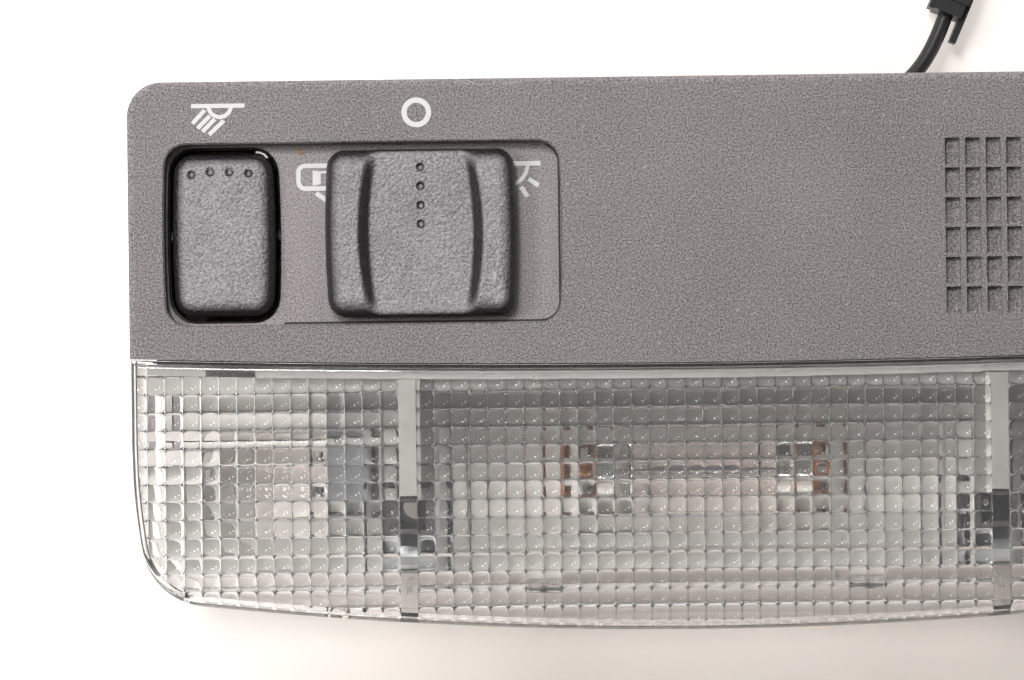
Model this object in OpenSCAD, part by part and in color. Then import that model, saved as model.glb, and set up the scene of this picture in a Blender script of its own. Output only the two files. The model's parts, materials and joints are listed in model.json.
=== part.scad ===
// Overhead interior light for a car: two map lamps, a dome lamp between them,
// a slide switch, two rocker switches and a microphone.
// It lies on its back. X runs to the right of the face, Y from the lens
// towards the switches, Z from the roof side out of the face. Millimetres.

/* [Face] */
// Width of the face
face_w = 200.4; // [190:1:220]
// Height of the face, from the lens edge to the switch edge
face_h = 96.8; // [94:1:106]
// Depth from the roof side to the face
unit_d = 36; // [35:1:42]
// Depth of the visible rim, from the face down
rim_d = 19; // [18:1:20]
// Distance from the switch edge to the end of the lens seam
seam_from_top = 48.4; // [48:0.5:50]
// Sag of the seam in the middle
seam_sag = 1.7; // [0.5:0.1:2.5]
// Radius of the two upper corners
top_corner_r = 6; // [4:0.5:9]
// Radius of the rounded edge of the face
face_edge_r = 1.3; // [0.8:0.1:1.6]
// Wall of the housing
wall = 2.2; // [1.8:0.1:2.6]

/* [Lens] */
// Radius of the long lower edge
lower_edge_r = 770; // [700:10:900]
// Radius of the slightly drawn-in sides
side_edge_r = 107; // [90:1:130]
// Distance from the seam end to where the sides draw in
side_straight = 15; // [10:1:18]
// Radius of the two lower corners
lower_corner_r = 12; // [8:1:15]
// Wall of the lens rim
lens_wall = 1.3; // [1:0.1:1.8]
// Plate of the lens between its cells
lens_plate = 1.1; // [0.9:0.1:1.5]
// Height of the pillow of one optical cell
cell_rise = 1.15; // [0.6:0.05:1.2]
// Width of one optical cell
cell_w = 3.14; // [2.9:0.02:3.3]
// Height of one optical cell
cell_h = 3.14; // [2.9:0.02:3.3]
// Columns of cells over the dome lamp
dome_columns = 32; // [28:2:32]
// Columns of cells over each map lamp
map_columns = 15; // [10:1:15]
// Rows of cells
cell_rows = 14; // [9:1:14]
// Plain band between the seam and the cells
plain_band = 2.8; // [2.4:0.1:3.2]
// Width of the plain bars between the lamps
bar_w = 3.05; // [2.5:0.05:3.5]
// Width of the slanted band along the lower edge
bevel_w = 1.8; // [1.4:0.2:3]
// Drop of the slanted band
bevel_drop = 1.5; // [1:0.1:3]

/* [Switch recess] */
// Height of both recesses
recess_h = 31.6; // [31:0.1:34]
// Depth of both recesses
recess_depth = 3; // [2.4:0.1:3.4]
// Corner radius of both recesses
recess_r = 3.6; // [3:0.1:5]
// Distance of the left recess from the side of the face
recess_from_side = 6.4; // [6:0.1:7]
// Distance of both recesses from the switch edge
recess_from_top = 11.1; // [10:0.1:13]
// Length of the small recess round the right rocker
small_recess_l = 21.8; // [21.4:0.1:26]
// Floor of both recesses
recess_floor = 1.8; // [1.4:0.1:2.2]

/* [Rocker] */
// Width of a rocker
rocker_w = 18; // [16:0.1:18.4]
// Height of a rocker
rocker_h = 28.4; // [26:0.1:28.6]
// Distance of a rocker's middle from the side of the face
rocker_from_side = 16.7; // [16.6:0.1:17.6]
// Corner radius of a rocker
rocker_r = 3.4; // [2.8:0.1:4.6]
// Distance of a rocker's top from the recess floor
rocker_rise = 3.7; // [3:0.1:4.4]
// Gap between a rocker and its aperture
rocker_gap = 1; // [0.8:0.05:1.2]
// Radius of the rounded edge of a rocker
rocker_edge_r = 2.4; // [1.5:0.1:2.6]
// Radius of a rocker's pivot
pivot_r = 1.5; // [1.2:0.1:1.8]
// Running clearance of the pivots
pivot_clear = 0.05; // [0.03:0.01:0.08]

/* [Slide switch] */
// Length of the knob along its travel
knob_l = 33.5; // [31:0.1:34]
// Height of the knob across its travel
knob_h = 29.2; // [26:0.1:30]
// Gap between the left rocker and the knob at that end of its travel
knob_to_rocker = 1.8; // [1:0.1:3]
// Gap between the recess's end and the knob at that end of its travel
knob_to_end = 0.75; // [0.5:0.05:2]
// Travel to either side
knob_travel = 7; // [5:0.5:7]
// Rise of the ends of the saddle over the recess floor
saddle_rise = 3.9; // [3.4:0.1:4.2]
// Dip of the saddle's middle below its ends
saddle_dip = 0.7; // [0.2:0.1:1]
// Rise of the two ribs over the recess floor
rib_rise = 5.8; // [5:0.1:6.5]
// Length of the saddle between the ribs
saddle_l = 18.6; // [17:0.1:20]
// Length of the stem along the travel
stem_l = 4; // [3:0.1:4.6]
// Width of the stem across the travel
stem_w = 6; // [4:0.1:7]
// Radius of the detent ball
ball_r = 1.5; // [1.2:0.1:1.7]
// Turns of the spring behind the ball
spring_turns = 5; // [3:1:6]
// Depth of the bore for the ball and its spring
detent_depth = 6.6; // [6:0.1:7]

/* [Grille] */
// Columns of the microphone grille
grille_columns = 7; // [5:1:8]
// Rows of the microphone grille
grille_rows = 6; // [4:1:6]
// Width of one grille pocket
pocket_w = 2.6; // [2:0.1:2.8]
// Height of one grille pocket
pocket_h = 4.56; // [4:0.02:4.7]
// Bar between two pockets of a row
grille_bar_x = 0.98; // [0.8:0.02:1.2]
// Bar between two rows
grille_bar_y = 0.64; // [0.5:0.02:0.8]
// Depth of a grille pocket
pocket_depth = 1.3; // [0.8:0.1:1.5]
// Gap between the grille and the small recess
grille_to_recess = 5.9; // [5:0.1:8]
// Distance of the first row from the switch edge
grille_from_top = 11.5; // [10:0.1:14]
// Diameter of the microphone capsule
capsule_d = 9.7; // [8:0.1:10]
// Height of the microphone capsule
capsule_h = 4.5; // [3:0.1:5]

/* [Lamps] */
// Length of the dome bulb over its caps
dome_bulb_l = 43; // [41:0.5:44]
// Diameter of the dome bulb's glass
dome_bulb_d = 10.5; // [9:0.1:11]
// Length of a cap of the dome bulb
cap_l = 7; // [5:0.5:8]
// Diameter of a map bulb
map_bulb_d = 9.6; // [8:0.1:10]
// Length of a map bulb
map_bulb_l = 26.8; // [24:0.1:27]
// Radius of the dome lamp's trough
trough_r = 17; // [15:0.5:18]
// Length of the dome lamp's trough
trough_l = 90; // [80:1:92]
// Radius of a map lamp's bowl
bowl_r = 20; // [19:0.5:20.5]
// Distance of a map lamp's middle from the side of the face
bowl_from_side = 25; // [24:0.5:26]
// Distance of the lamps' middle from the seam end
lamp_from_seam = 20.7; // [19:0.1:22]
// Wall of the reflector
reflector_wall = 1.2; // [1:0.1:1.4]
// Distance of the lamps' axis from the face
lamp_depth = 11.5; // [11:0.1:12]

/* [Carrier] */
// Thickness of the carrier's base
base_t = 2; // [1.6:0.1:2.6]
// Wall of the carrier
carrier_wall = 1.8; // [1.4:0.1:2.2]
// Distance of the carrier from the sides of the face
carrier_side_inset = 3.9; // [3.6:0.1:5]
// Distance of the carrier from the switch edge
carrier_top_inset = 8; // [7.6:0.1:9]
// Distance of the carrier from the middle of the lens edge
carrier_lens_inset = 9.9; // [9.5:0.1:11]
// Distance of each roof screw hole from the middle
roof_screw_x = 51.5; // [50.5:0.1:52.5]
// Radius of the roof screw holes
roof_screw_r = 2.3; // [2:0.1:2.5]
// Thickness of the brass strips
strip_t = 0.8; // [0.6:0.1:1]
// Width of a brass blade in the connector
blade_w = 2.8; // [2:0.1:3]
// Distance between two blades
blade_pitch = 4; // [3.6:0.1:4.2]
// Radius of a carrier screw
screw_r = 1.45; // [1.2:0.05:1.6]

/* [Microphone lead] */
// Diameter of the lead
lead_d = 2.8; // [2.4:0.1:3]
// Length of the plug's body
plug_l = 17; // [14:0.5:20]
// Width of the plug's body
plug_w = 5.2; // [5:0.1:8]
// Height of the plug's body
plug_h = 7.6; // [7:0.1:9]

/* [Hidden] */
$fn = 48;
eps = 0.01;
fit_gap = 0.15;
slide_gap = 0.3;

half_w = face_w / 2;
top_y = face_h / 2;
low_y = -face_h / 2;
seam_end_y = top_y - seam_from_top;
seam_low_y = seam_end_y - seam_sag;
rim_z = unit_d - rim_d;
tray_t = 2;
tray_z = rim_z + tray_t;
plate_z = unit_d - wall;

function seam_y(x) = seam_end_y - seam_sag * (1 - pow(x / half_w, 2));

// Points on an arc from angle a0 to a1
function arc(c, r, a0, a1, n) = [for (i = [0:n])
    let (a = a0 + (a1 - a0) * i / n) c + r * [cos(a), sin(a)]];

function flip(points) = [for (i = [len(points) - 1:-1:0]) [-points[i][0], points[i][1]]];

// Outer edge of the housing above the seam, drawn in by d, from the right seam end over the top
function upper_right(d) = concat(
    [[half_w - d, seam_end_y]],
    arc([half_w - top_corner_r, top_y - top_corner_r], top_corner_r - d, 0, 90, 8)
);
function seam_points(x0, x1, n, shift) = [for (i = [0:n])
    let (x = x0 + (x1 - x0) * i / n) [x, seam_y(x) + shift]];
function upper_outline(d, seam_d = 0) = let (seam = seam_points(-half_w + d, half_w - d, 16, seam_d)) concat(
    upper_right(d), flip(upper_right(d)), [for (i = [1:15]) seam[i]]
);

// Crossing point, on the right, of two circles
function circle_meet(ca, ra, cb, rb) =
    let (v = cb - ca, l = norm(v), u = v / l,
         a = (ra * ra - rb * rb + l * l) / (2 * l), h = sqrt(ra * ra - a * a))
    ca + a * u + h * [u[1], -u[0]];

side_turn_y = seam_end_y - side_straight;
side_c = [half_w - side_edge_r, side_turn_y];
low_c = [0, low_y + lower_edge_r];
corner_c = circle_meet(side_c, side_edge_r - lower_corner_r, low_c, lower_edge_r - lower_corner_r);
side_a = atan2(corner_c[1] - side_c[1], corner_c[0] - side_c[0]);
low_a = atan2(corner_c[1] - low_c[1], corner_c[0] - low_c[0]);

// Edge of the lens from the right seam end to the middle of the lower edge.
// Each entry is point, outward normal and share of the bevel there.
function edge_arc(c, r, a0, a1, n, w0, w1) = [for (i = [1:n])
    let (t = i / n, a = a0 + (a1 - a0) * t)
    [c + r * [cos(a), sin(a)], [cos(a), sin(a)], w0 + (w1 - w0) * t]];
lens_edge = concat(
    [[[half_w, seam_end_y], [1, 0], 0], [[half_w, side_turn_y], [1, 0], 0]],
    edge_arc(side_c, side_edge_r, 0, side_a, 4, 0, 0),
    edge_arc(corner_c, lower_corner_r, side_a, low_a, 9, 0, 1),
    edge_arc(low_c, lower_edge_r, low_a, -90, 8, 1, 1)
);
// Lens outline drawn in by d at the sides and by e at the lower edge, top edge lowered by t
function lens_half(d, e, t) = [for (i = [0:len(lens_edge) - 1])
    let (q = lens_edge[i], p = q[0] - (d + (e - d) * q[2]) * q[1])
    i == 0 ? [p[0], seam_end_y - t] : p];
function lens_outline(d, e, t) = let (
        half = lens_half(d, e, t), n = len(half) - 1,
        left_down = [for (i = [0:n]) [-half[i][0], half[i][1]]],
        right_up = [for (i = [n - 1:-1:0]) half[i]],
        seam = seam_points(half_w - d, -half_w + d, 16, -t))
    concat([for (i = [1:15]) seam[i]], left_down, right_up);

// Solid through layers of points, each [z, outline]; the outlines run the same way
module loft(layers) {
    n = len(layers[0][1]);
    m = len(layers);
    points = [for (l = layers) for (p = l[1]) [p[0], p[1], l[0]]];
    sides = [for (k = [0:m - 2]) for (i = [0:n - 1])
        let (j = (i + 1) % n) each [
            [k * n + i, (k + 1) * n + i, (k + 1) * n + j],
            [k * n + i, (k + 1) * n + j, k * n + j]]];
    polyhedron(points = points, faces = concat(
        sides,
        [[for (i = [0:n - 1]) i]],
        [[for (i = [n - 1:-1:0]) (m - 1) * n + i]]
    ), convexity = 6);
}

// Rounded rectangle about the origin whose long sides bulge: k is the share drawn in at the ends
function barrel(w, h, r, k) =
    let (corner = arc([w / 2 - r, h / 2 - r], r, 0, 90, 5),
         right = [for (i = [-2:2]) [w / 2, i * (h / 2 - r) / 3]],
         half = concat(right, corner, flip(corner)),
         raw = concat(half, [for (p = half) -p]))
    [for (p = raw) [p[0] * (1 - k * pow(2 * p[1] / h, 2)), p[1]]];

recess_top_y = top_y - recess_from_top;
recess_y = recess_top_y - recess_h / 2;
floor_z = unit_d - recess_depth;
floor_low_z = floor_z - recess_floor;
rocker_x = half_w - rocker_from_side;
knob_x = -rocker_x + rocker_w / 2 + knob_to_rocker + knob_travel + knob_l / 2;
recess_left_x = -half_w + recess_from_side;
recess_right_x = knob_x + knob_l / 2 + knob_travel + knob_to_end;
recess_l = recess_right_x - recess_left_x;
recess_x = (recess_left_x + recess_right_x) / 2;
rocker_top_z = floor_z + rocker_rise;
rocker_bulge = 0.05;
aperture_w = rocker_w + 2 * rocker_gap;
aperture_h = rocker_h + 2 * rocker_gap + 0.5;
small_recess_x = rocker_x;
knob_low_z = floor_z + slide_gap;

frame_wall = 2.4;
frame_h = 6.2;
frame_w = aperture_w + 2 * frame_wall;
frame_l = aperture_h + 2 * frame_wall;
pivot_z = floor_low_z - frame_h / 2;
rocker_low_z = pivot_z - pivot_r - 1;

foot_l = 2 * knob_travel + 6;
foot_w = 8;
foot_t = 2.5;
foot_top_z = floor_low_z - 2.4;
foot_low_z = foot_top_z - foot_t;
channel_l = foot_l + 2 * knob_travel + 2 * slide_gap;
channel_w = foot_w + 2 * slide_gap;
channel_low_z = foot_low_z - 1.6;
rail_l = channel_l + 2 * 1.6;
rail_side = detent_depth + 1;
rail_w = channel_w + 2 * rail_side;
rail_low_z = channel_low_z - 1.6;
wiper_t = 0.5;

grille_pitch_x = pocket_w + grille_bar_x;
grille_pitch_y = pocket_h + grille_bar_y;
grille_top_y = top_y - grille_from_top;
grille_x = small_recess_x - small_recess_l / 2 - grille_to_recess
    - (grille_columns - 1) * grille_pitch_x - pocket_w;
capsule_x = grille_x + 4.5 * grille_pitch_x + pocket_w / 2;
capsule_y = grille_top_y - 2.5 * grille_pitch_y - pocket_h / 2;
holder_wall = 1.6;
holder_low_z = plate_z - capsule_h - holder_wall;

lamp_y = seam_end_y - lamp_from_seam;
lamp_z = unit_d - lamp_depth;
bowl_x = half_w - bowl_from_side;
reflector_z = tray_z;
reflector_top_z = reflector_z + reflector_wall;
trough_z = lamp_z + 8.5;
trough_y = lamp_y - 0.8;
bowl_z = lamp_z + 10.5;
bowl_y = lamp_y - 1.6;

lens_low_z = tray_z;
lens_front_z = unit_d;
cell_base_z = lens_front_z - lens_plate;
cell_edge_z = cell_base_z - 0.06;
cell_low_z = cell_base_z - cell_rise;
cells_from_seam = 3.16;
bar_x = dome_columns * cell_w / 2 + bar_w / 2;
cells_top_y = seam_end_y - cells_from_seam;
rib_top_z = cell_low_z - 0.8;

carrier_left = -half_w + carrier_side_inset;
carrier_top_y = top_y - carrier_top_inset;
carrier_low_y = low_y + carrier_lens_inset;
carrier_y = (carrier_top_y + carrier_low_y) / 2;
carrier_l = face_w - 2 * carrier_side_inset;
carrier_h = carrier_top_y - carrier_low_y;
carrier_r = 6;
tray_inset = 3;
tray_low_y = carrier_low_y - 0.6;
window_low_y = carrier_low_y + carrier_wall + 0.2;
well_y = seam_end_y - 28.1;
well_w = 7.2;
well_h = 6.4;
well_wall = 0.9;
clip_y = well_y - well_h / 2 - 0.2;
clip_w = 9;
clip_len = clip_y - carrier_low_y - 0.4;
clip_leg_y = window_low_y + 0.1;
ledge_x = half_w - 33.4;
ledge_y = seam_end_y - 14;
screw_x = 18;
screw_ys = [recess_top_y - 3, recess_top_y - recess_h + 4];
boss_r = 3.4;

shroud_w = 4 * blade_pitch + blade_w + 5.2;
shroud_low_z = base_t + 0.4;
shroud_h = rim_z - shroud_low_z - 3.8;
shroud_wall = 1.3;
shroud_back_y = carrier_top_y - 11;
shroud_front_y = carrier_top_y + 3.6;
blade_z = shroud_low_z + shroud_h / 2 - strip_t / 2;

lead_z = 9.6;
lead_y = carrier_top_y + 4;
lead_route = [
    [17, 44.4, 9.6], [20, 44.4, 9.5], [23, 44.5, 9.3], [26, 44.6, 9.1], [29, 44.9, 8.8],
    [32, 45.4, 8.4], [35, 46.3, 7.9], [37.8, 47.7, 7.3], [40.3, 49.6, 6.7],
    [42.5, 52, 6], [44.4, 54.9, 5.4], [46, 58.1, 4.8], [47.4, 61.5, 4.3]
];
plug_base = lead_route[len(lead_route) - 1];
plug_dir = 67;

module at(x, y, z = 0) { translate([x, y, z]) children(); }
module both_sides() { children(); mirror([1, 0, 0]) children(); }

module prism(points, z0, z1) {
    translate([0, 0, z0]) linear_extrude(z1 - z0) polygon(points);
}

module box(x0, x1, y0, y1, z0, z1) {
    translate([x0, y0, z0]) cube([x1 - x0, y1 - y0, z1 - z0]);
}

// Face with its rounded outer edge
module housing_body() {
    edge = [for (a = [0:30:90]) [unit_d - face_edge_r * (1 - sin(a)), face_edge_r * (1 - cos(a))]];
    loft([for (e = concat([[rim_z, 0]], edge)) [e[0], upper_outline(e[1])]]);
}

module housing_cavity() {
    difference() {
        prism(upper_outline(wall, wall), rim_z - 1, plate_z);
        // tubs of the two recesses hang into the cavity
        at(recess_x, recess_y) prism(barrel(recess_l + 3, recess_h + 3, recess_r + 1.5, 0), floor_low_z, plate_z + 1);
        at(small_recess_x, recess_y)
            prism(barrel(small_recess_l + 2.6, recess_h + 3, recess_r + 1.3, 0), floor_low_z, plate_z + 1);
        for (x = [-1, 1], y = screw_ys) at(x * screw_x, y, rim_z) cylinder(r = boss_r, h = rim_d);
    }
}

module recess_pocket(l, x) {
    at(x, recess_y) {
        prism(barrel(l, recess_h, recess_r, 0.012), floor_z, unit_d + 1);
        loft([for (s = [[unit_d - 0.4, -0.01], [unit_d + 0.3, 0.6]])
            [s[0], barrel(l + 2 * s[1], recess_h + 2 * s[1], recess_r + s[1], 0.012)]]);
    }
}

module grille_pockets() {
    for (i = [0:grille_columns - 1], j = [0:grille_rows - 1]) {
        pierced = abs(i - 4.5) < 1 && abs(j - 2.5) < 1;
        depth = pierced ? wall + 1 : pocket_depth;
        at(grille_x + i * grille_pitch_x, grille_top_y - j * grille_pitch_y - pocket_h, unit_d - depth)
            cube([pocket_w, pocket_h, depth + 1]);
    }
}

module housing() color([0.22, 0.21, 0.21]) {
    difference() {
        union() {
            difference() {
                housing_body();
                housing_cavity();
            }
            // tray behind the lens, with its screw wells
            intersection() {
                box(-half_w, half_w, tray_low_y, seam_low_y + wall - 0.1, rim_z, tray_z);
                prism(lens_outline(tray_inset, tray_inset, -wall / 2), rim_z, tray_z);
            }
            both_sides() box(roof_screw_x - well_w / 2, roof_screw_x + well_w / 2,
                well_y - well_h / 2, well_y + well_h / 2, tray_z - eps, rib_top_z - 1);
        }
        recess_pocket(recess_l, recess_x);
        recess_pocket(small_recess_l, small_recess_x);
        both_sides() at(rocker_x, recess_y)
            prism(barrel(aperture_w, aperture_h, rocker_r + rocker_gap, rocker_bulge), floor_low_z - 1, unit_d);
        // slot for the stem of the slide knob
        at(knob_x, recess_y) box(-stem_l / 2 - knob_travel - slide_gap, stem_l / 2 + knob_travel + slide_gap,
            -stem_w / 2 - slide_gap, stem_w / 2 + slide_gap, floor_low_z - 1, unit_d);
        grille_pockets();
        // windows of the tray under the reflector
        box(-trough_l / 2 - 1.8, trough_l / 2 + 1.8, window_low_y, seam_low_y - 4.5, rim_z - 1, tray_z + eps / 2);
        both_sides() box(roof_screw_x + clip_w / 2 + 1.4, half_w - 6.2, window_low_y, seam_low_y - 2.2,
            rim_z - 1, tray_z + eps / 2);
        // open screw wells and the windows of the retaining springs
        both_sides() {
            box(roof_screw_x - well_w / 2 + well_wall, roof_screw_x + well_w / 2 - well_wall,
                well_y - well_h / 2 + well_wall, well_y + well_h / 2 - well_wall, rim_z - 1, unit_d);
            box(roof_screw_x - clip_w / 2 - 0.4, roof_screw_x + clip_w / 2 + 0.4,
                clip_y - clip_len - 0.2, clip_y + 0.2, rim_z - 1, tray_z + eps / 2);
        }
        for (x = [-1, 1], y = screw_ys) at(x * screw_x, y, rim_z - 1) cylinder(r = screw_r + 0.05, h = 11);
        // windows for the upper hooks of the lens
        for (x = hook_xs) box(x - hook_w / 2 - 0.2, x + hook_w / 2 + 0.2, seam_y(x) - 1, seam_y(x) + wall + 1,
            hook_z - 0.2, hook_z + 3.2);
    }
}
hook_xs = [-82.8, -28, 28, 82.8];
hook_w = 8.2;
hook_z = tray_z + 4;

// One block of pillow cells, hanging from the plate
module cell_block(x0, columns) {
    xs = [for (i = [0:2 * columns]) x0 + i * cell_w / 2];
    ys = [for (j = [0:2 * cell_rows]) cells_top_y - j * cell_h / 2];
    n = len(xs);
    m = len(ys);
    function inside(i, j) = i % 2 == 1 && j % 2 == 1;
    low = [for (j = [0:m - 1]) for (i = [0:n - 1])
        [xs[i], ys[j], !inside(i, j) ? cell_edge_z : cell_inside(abs(xs[i]), ys[j]) ? cell_low_z : cell_edge_z - 0.1]];
    cells = [for (j = [1:2:m - 2]) for (i = [1:2:n - 2])
        let (c = j * n + i, a = c - n - 1, b = c - n + 1, d = c + n + 1, e = c + n - 1)
        each [[c, b, a], [c, d, b], [c, e, d], [c, a, e]]];
    used = len(low);
    rim = concat(
        [for (i = [0:2:n - 1]) i], [for (j = [2:2:m - 1]) j * n + n - 1],
        [for (i = [n - 3:-2:0]) (m - 1) * n + i], [for (j = [m - 3:-2:2]) j * n]);
    k = len(rim);
    top = [for (r = rim) [low[r][0], low[r][1], cell_base_z + 0.4]];
    polyhedron(points = concat(low, top), faces = concat(
        cells,
        [for (i = [0:k - 1]) let (j = (i + 1) % k) each [
            [rim[i], rim[j], used + j], [rim[i], used + j, used + i]]],
        [[for (i = [0:k - 1]) used + i]]
    ), convexity = 8);
}

// Is a cell's middle clear of the rounded corner of the lens rim?
function cell_inside(x, y) =
    !(x > corner_c[0] && y < corner_c[1] && norm([x, y] - corner_c) > lower_corner_r - lens_wall - 1);

module lens() color([0.8, 0.82, 0.8, 0.6]) {
    outer = concat(
        [[lens_low_z, 0, 0.3]],
        [[lens_front_z - bevel_drop, 0, 0]],
        [[lens_front_z - 0.5, 0.1, bevel_w / 2], [lens_front_z, 0.6, bevel_w]]);
    difference() {
        loft([for (l = outer) [l[0], lens_outline(l[1], l[2], fit_gap)]]);
        loft([for (l = [[lens_low_z - 1, lens_wall, lens_wall], [lens_front_z - bevel_drop - lens_plate, lens_wall, lens_wall],
                [cell_base_z, lens_wall, bevel_w]])
            [l[0], lens_outline(l[1], l[2], lens_wall + fit_gap)]]);
    }
    intersection() {
        union() {
            cell_block(-dome_columns * cell_w / 2, dome_columns);
            both_sides() cell_block(bar_x + bar_w / 2, map_columns);
        }
        prism(lens_outline(lens_wall / 2, bevel_w / 2 + 0.2, plain_band), cell_low_z - 1, lens_front_z);
    }
    // hooks over the seam wall and ribs that stiffen the rim
    for (x = hook_xs) hull() {
        box(x - hook_w / 2, x + hook_w / 2, seam_y(x) - fit_gap - 0.5, seam_y(x) - fit_gap + 0.01, hook_z, hook_z + 3);
        box(x - hook_w / 2, x + hook_w / 2, seam_y(x) - fit_gap, seam_y(x) + 1.2, hook_z, hook_z + 0.6);
    }
    for (s = [-1, 1]) hull() {
        box(s * bar_x - 0.5, s * bar_x + 0.5, carrier_low_y - 3.2, carrier_low_y - 1.2, cell_base_z - 8, cell_base_z);
        box(s * bar_x - 0.5, s * bar_x + 0.5, carrier_low_y - 2.4, carrier_low_y - 1.2, lens_low_z, lens_low_z + 1);
    }
    for (x = [-28, 28]) hull() {
        box(x - 3, x + 3, carrier_low_y - 2.4, carrier_low_y - 1, cell_base_z - 1, cell_base_z);
        box(x - 3, x + 3, carrier_low_y - 2.4, carrier_low_y - 1, lens_low_z, lens_low_z + 3);
    }
}

// Bowl or trough, filled out by wall t and kept under the flange
module lamp_hollows(t) {
    intersection() {
        union() {
            at(0, trough_y, trough_z) rotate([0, 90, 0])
                cylinder(r = trough_r + t, h = trough_l + 2 * t, center = true);
            both_sides() at(bowl_x, bowl_y, bowl_z) sphere(r = bowl_r + t);
        }
        box(-half_w, half_w, low_y, seam_low_y, 0, t > 0 ? reflector_top_z : reflector_top_z + 1);
    }
}

module reflector() color([0.66, 0.66, 0.65]) {
    difference() {
        union() {
            intersection() {
                box(-half_w + 3.2, half_w - 3.2, carrier_low_y - 0.4, seam_low_y - 1.8, reflector_z, reflector_top_z);
                prism(lens_outline(tray_inset, tray_inset, 1), reflector_z - 1, reflector_top_z + 1);
            }
            lamp_hollows(reflector_wall);
            // upstands that part the lamps
            both_sides() box(roof_screw_x - 2.1, roof_screw_x + 2.1, well_y + well_h / 2 + 0.3, seam_low_y - 2.4,
                reflector_z, rib_top_z);
        }
        lamp_hollows(0);
        both_sides() {
            box(roof_screw_x - 1.1, roof_screw_x + 1.1, well_y + well_h / 2 + 1.3, seam_low_y - 3.4, 0, rib_top_z - 1);
            // notch over the well and the retaining spring
            box(roof_screw_x - clip_w / 2 - 0.5, roof_screw_x + clip_w / 2 + 0.5,
                clip_y - clip_len - 0.4, well_y + well_h / 2 + 0.2, 0, unit_d);
            // open corner over the pale ledge of the carrier
            box(ledge_x - 0.3, half_w, ledge_y - 0.3, 0, 0, unit_d);
            // slots for the lamp holders
            box(holder_x0 - 0.3, holder_x1 + 0.3, lamp_y - holder_w / 2 - 0.3, lamp_y + holder_w / 2 + 0.3, 0, unit_d);
            box(dome_bulb_l / 2 - 1.2, dome_bulb_l / 2 + 2.2, lamp_y - 4.6, lamp_y + 4.6, 0, unit_d);
        }
    }
}
holder_x1 = bowl_x - 8.8;
holder_x0 = holder_x1 - 7.6;
holder_w = map_bulb_d + 2.2;

module carrier() color([0.9, 0.89, 0.86]) {
    outer = barrel(carrier_l, carrier_h, carrier_r, 0);
    inner = barrel(carrier_l - 2 * carrier_wall, carrier_h - 2 * carrier_wall, carrier_r - carrier_wall, 0);
    difference() {
        union() {
            difference() {
                at(0, carrier_y) prism(outer, 0, rim_z);
                at(0, carrier_y) prism(inner, base_t, rim_z + 1);
            }
            for (x = [-1, 1], y = screw_ys) at(x * screw_x, y, 0) cylinder(r = boss_r, h = rim_z);
            both_sides() {
                // pale ledge beside the map lamp
                box(ledge_x, half_w - 6.6, ledge_y, seam_low_y - 2.5, base_t - eps, tray_z + 1);
                // sleeve of the roof screw
                at(roof_screw_x, well_y, 0) cylinder(r = roof_screw_r + 1.7, h = rim_z);
                // posts under the rocker frame
                for (y = [-1, 1]) box(rocker_x - 3, rocker_x + 3, recess_y + y * (frame_l / 2 - 1.3) - 1.2,
                    recess_y + y * (frame_l / 2 - 1.3) + 1.2, base_t - eps, floor_low_z - frame_h);
            }
            // posts under the slide rail
            for (x = [-1, 1]) at(knob_x + x * (rail_l / 2 - 2), recess_y, base_t - eps)
                box(-1.5, 1.5, -4, 4, 0, rail_low_z - base_t + eps);
            // stiffening ribs
            for (y = [-1, 1]) box(-shroud_w, shroud_w, carrier_y + y * 9 - 0.8, carrier_y + y * 9 + 0.8, base_t - eps, 7);
        }
        both_sides() {
            at(roof_screw_x, well_y, -1) cylinder(r = roof_screw_r, h = rim_z + 2);
            box(roof_screw_x - clip_w / 2 + 1, roof_screw_x + clip_w / 2 - 1, clip_leg_y + 1.8, clip_y - 0.9,
                -1, base_t + 1);
            // passages of the brass strips through the ribs
            for (x = [0, blade_pitch, contact_x]) box(x - strip_w / 2 - 0.3, x + strip_w / 2 + 0.3,
                carrier_y - 10, carrier_y + 10, base_t, base_t + strip_t + 0.4);
            // hollow of the ledge
            box(ledge_x + 1.6, half_w - 8.2, ledge_y + 1.6, seam_low_y - 4.1, -1, tray_z - 0.6);
        }
        // counterbores and clearance holes of the carrier screws
        for (x = [-1, 1], y = screw_ys) at(x * screw_x, y, -1) {
            cylinder(r = screw_r + 0.15, h = rim_z + 2);
            cylinder(r = 2 * screw_r + 0.3, h = 4);
        }
        // opening for the connector and the lead
        box(-shroud_w / 2 - 0.1, shroud_w / 2 + 0.1, carrier_top_y - carrier_wall - 1, carrier_top_y + 1,
            shroud_low_z - 0.1, rim_z + 1);
    }
}

module connector_shroud() color([0.12, 0.12, 0.12]) {
    difference() {
        union() {
            box(-shroud_w / 2, shroud_w / 2, shroud_back_y, shroud_front_y, shroud_low_z, shroud_low_z + shroud_h);
            box(-shroud_w / 2, -shroud_w / 2 + 2, shroud_back_y, carrier_top_y - carrier_wall - 1.2,
                base_t, shroud_low_z + 1);
            box(shroud_w / 2 - 2, shroud_w / 2, shroud_back_y, carrier_top_y - carrier_wall - 1.2,
                base_t, shroud_low_z + 1);
            // latch nose of the mating plug
            hull() {
                box(-2.4, 2.4, shroud_front_y - 3.4, shroud_front_y - 2.4, shroud_low_z + shroud_h - 1, shroud_low_z + shroud_h + 1.3);
                box(-2.4, 2.4, shroud_front_y - 3.4, shroud_front_y, shroud_low_z + shroud_h - 1, shroud_low_z + shroud_h + 0.1);
            }
        }
        box(-shroud_w / 2 + shroud_wall, shroud_w / 2 - shroud_wall, shroud_back_y + 2, shroud_front_y + 1,
            shroud_low_z + shroud_wall, shroud_low_z + shroud_h - shroud_wall);
        for (i = [-2:2]) box(i * blade_pitch - blade_w / 2 - 0.02, i * blade_pitch + blade_w / 2 + 0.02,
            shroud_back_y - 1, shroud_back_y + 3, blade_z - 0.02, blade_z + strip_t + 0.02);
    }
}

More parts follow.
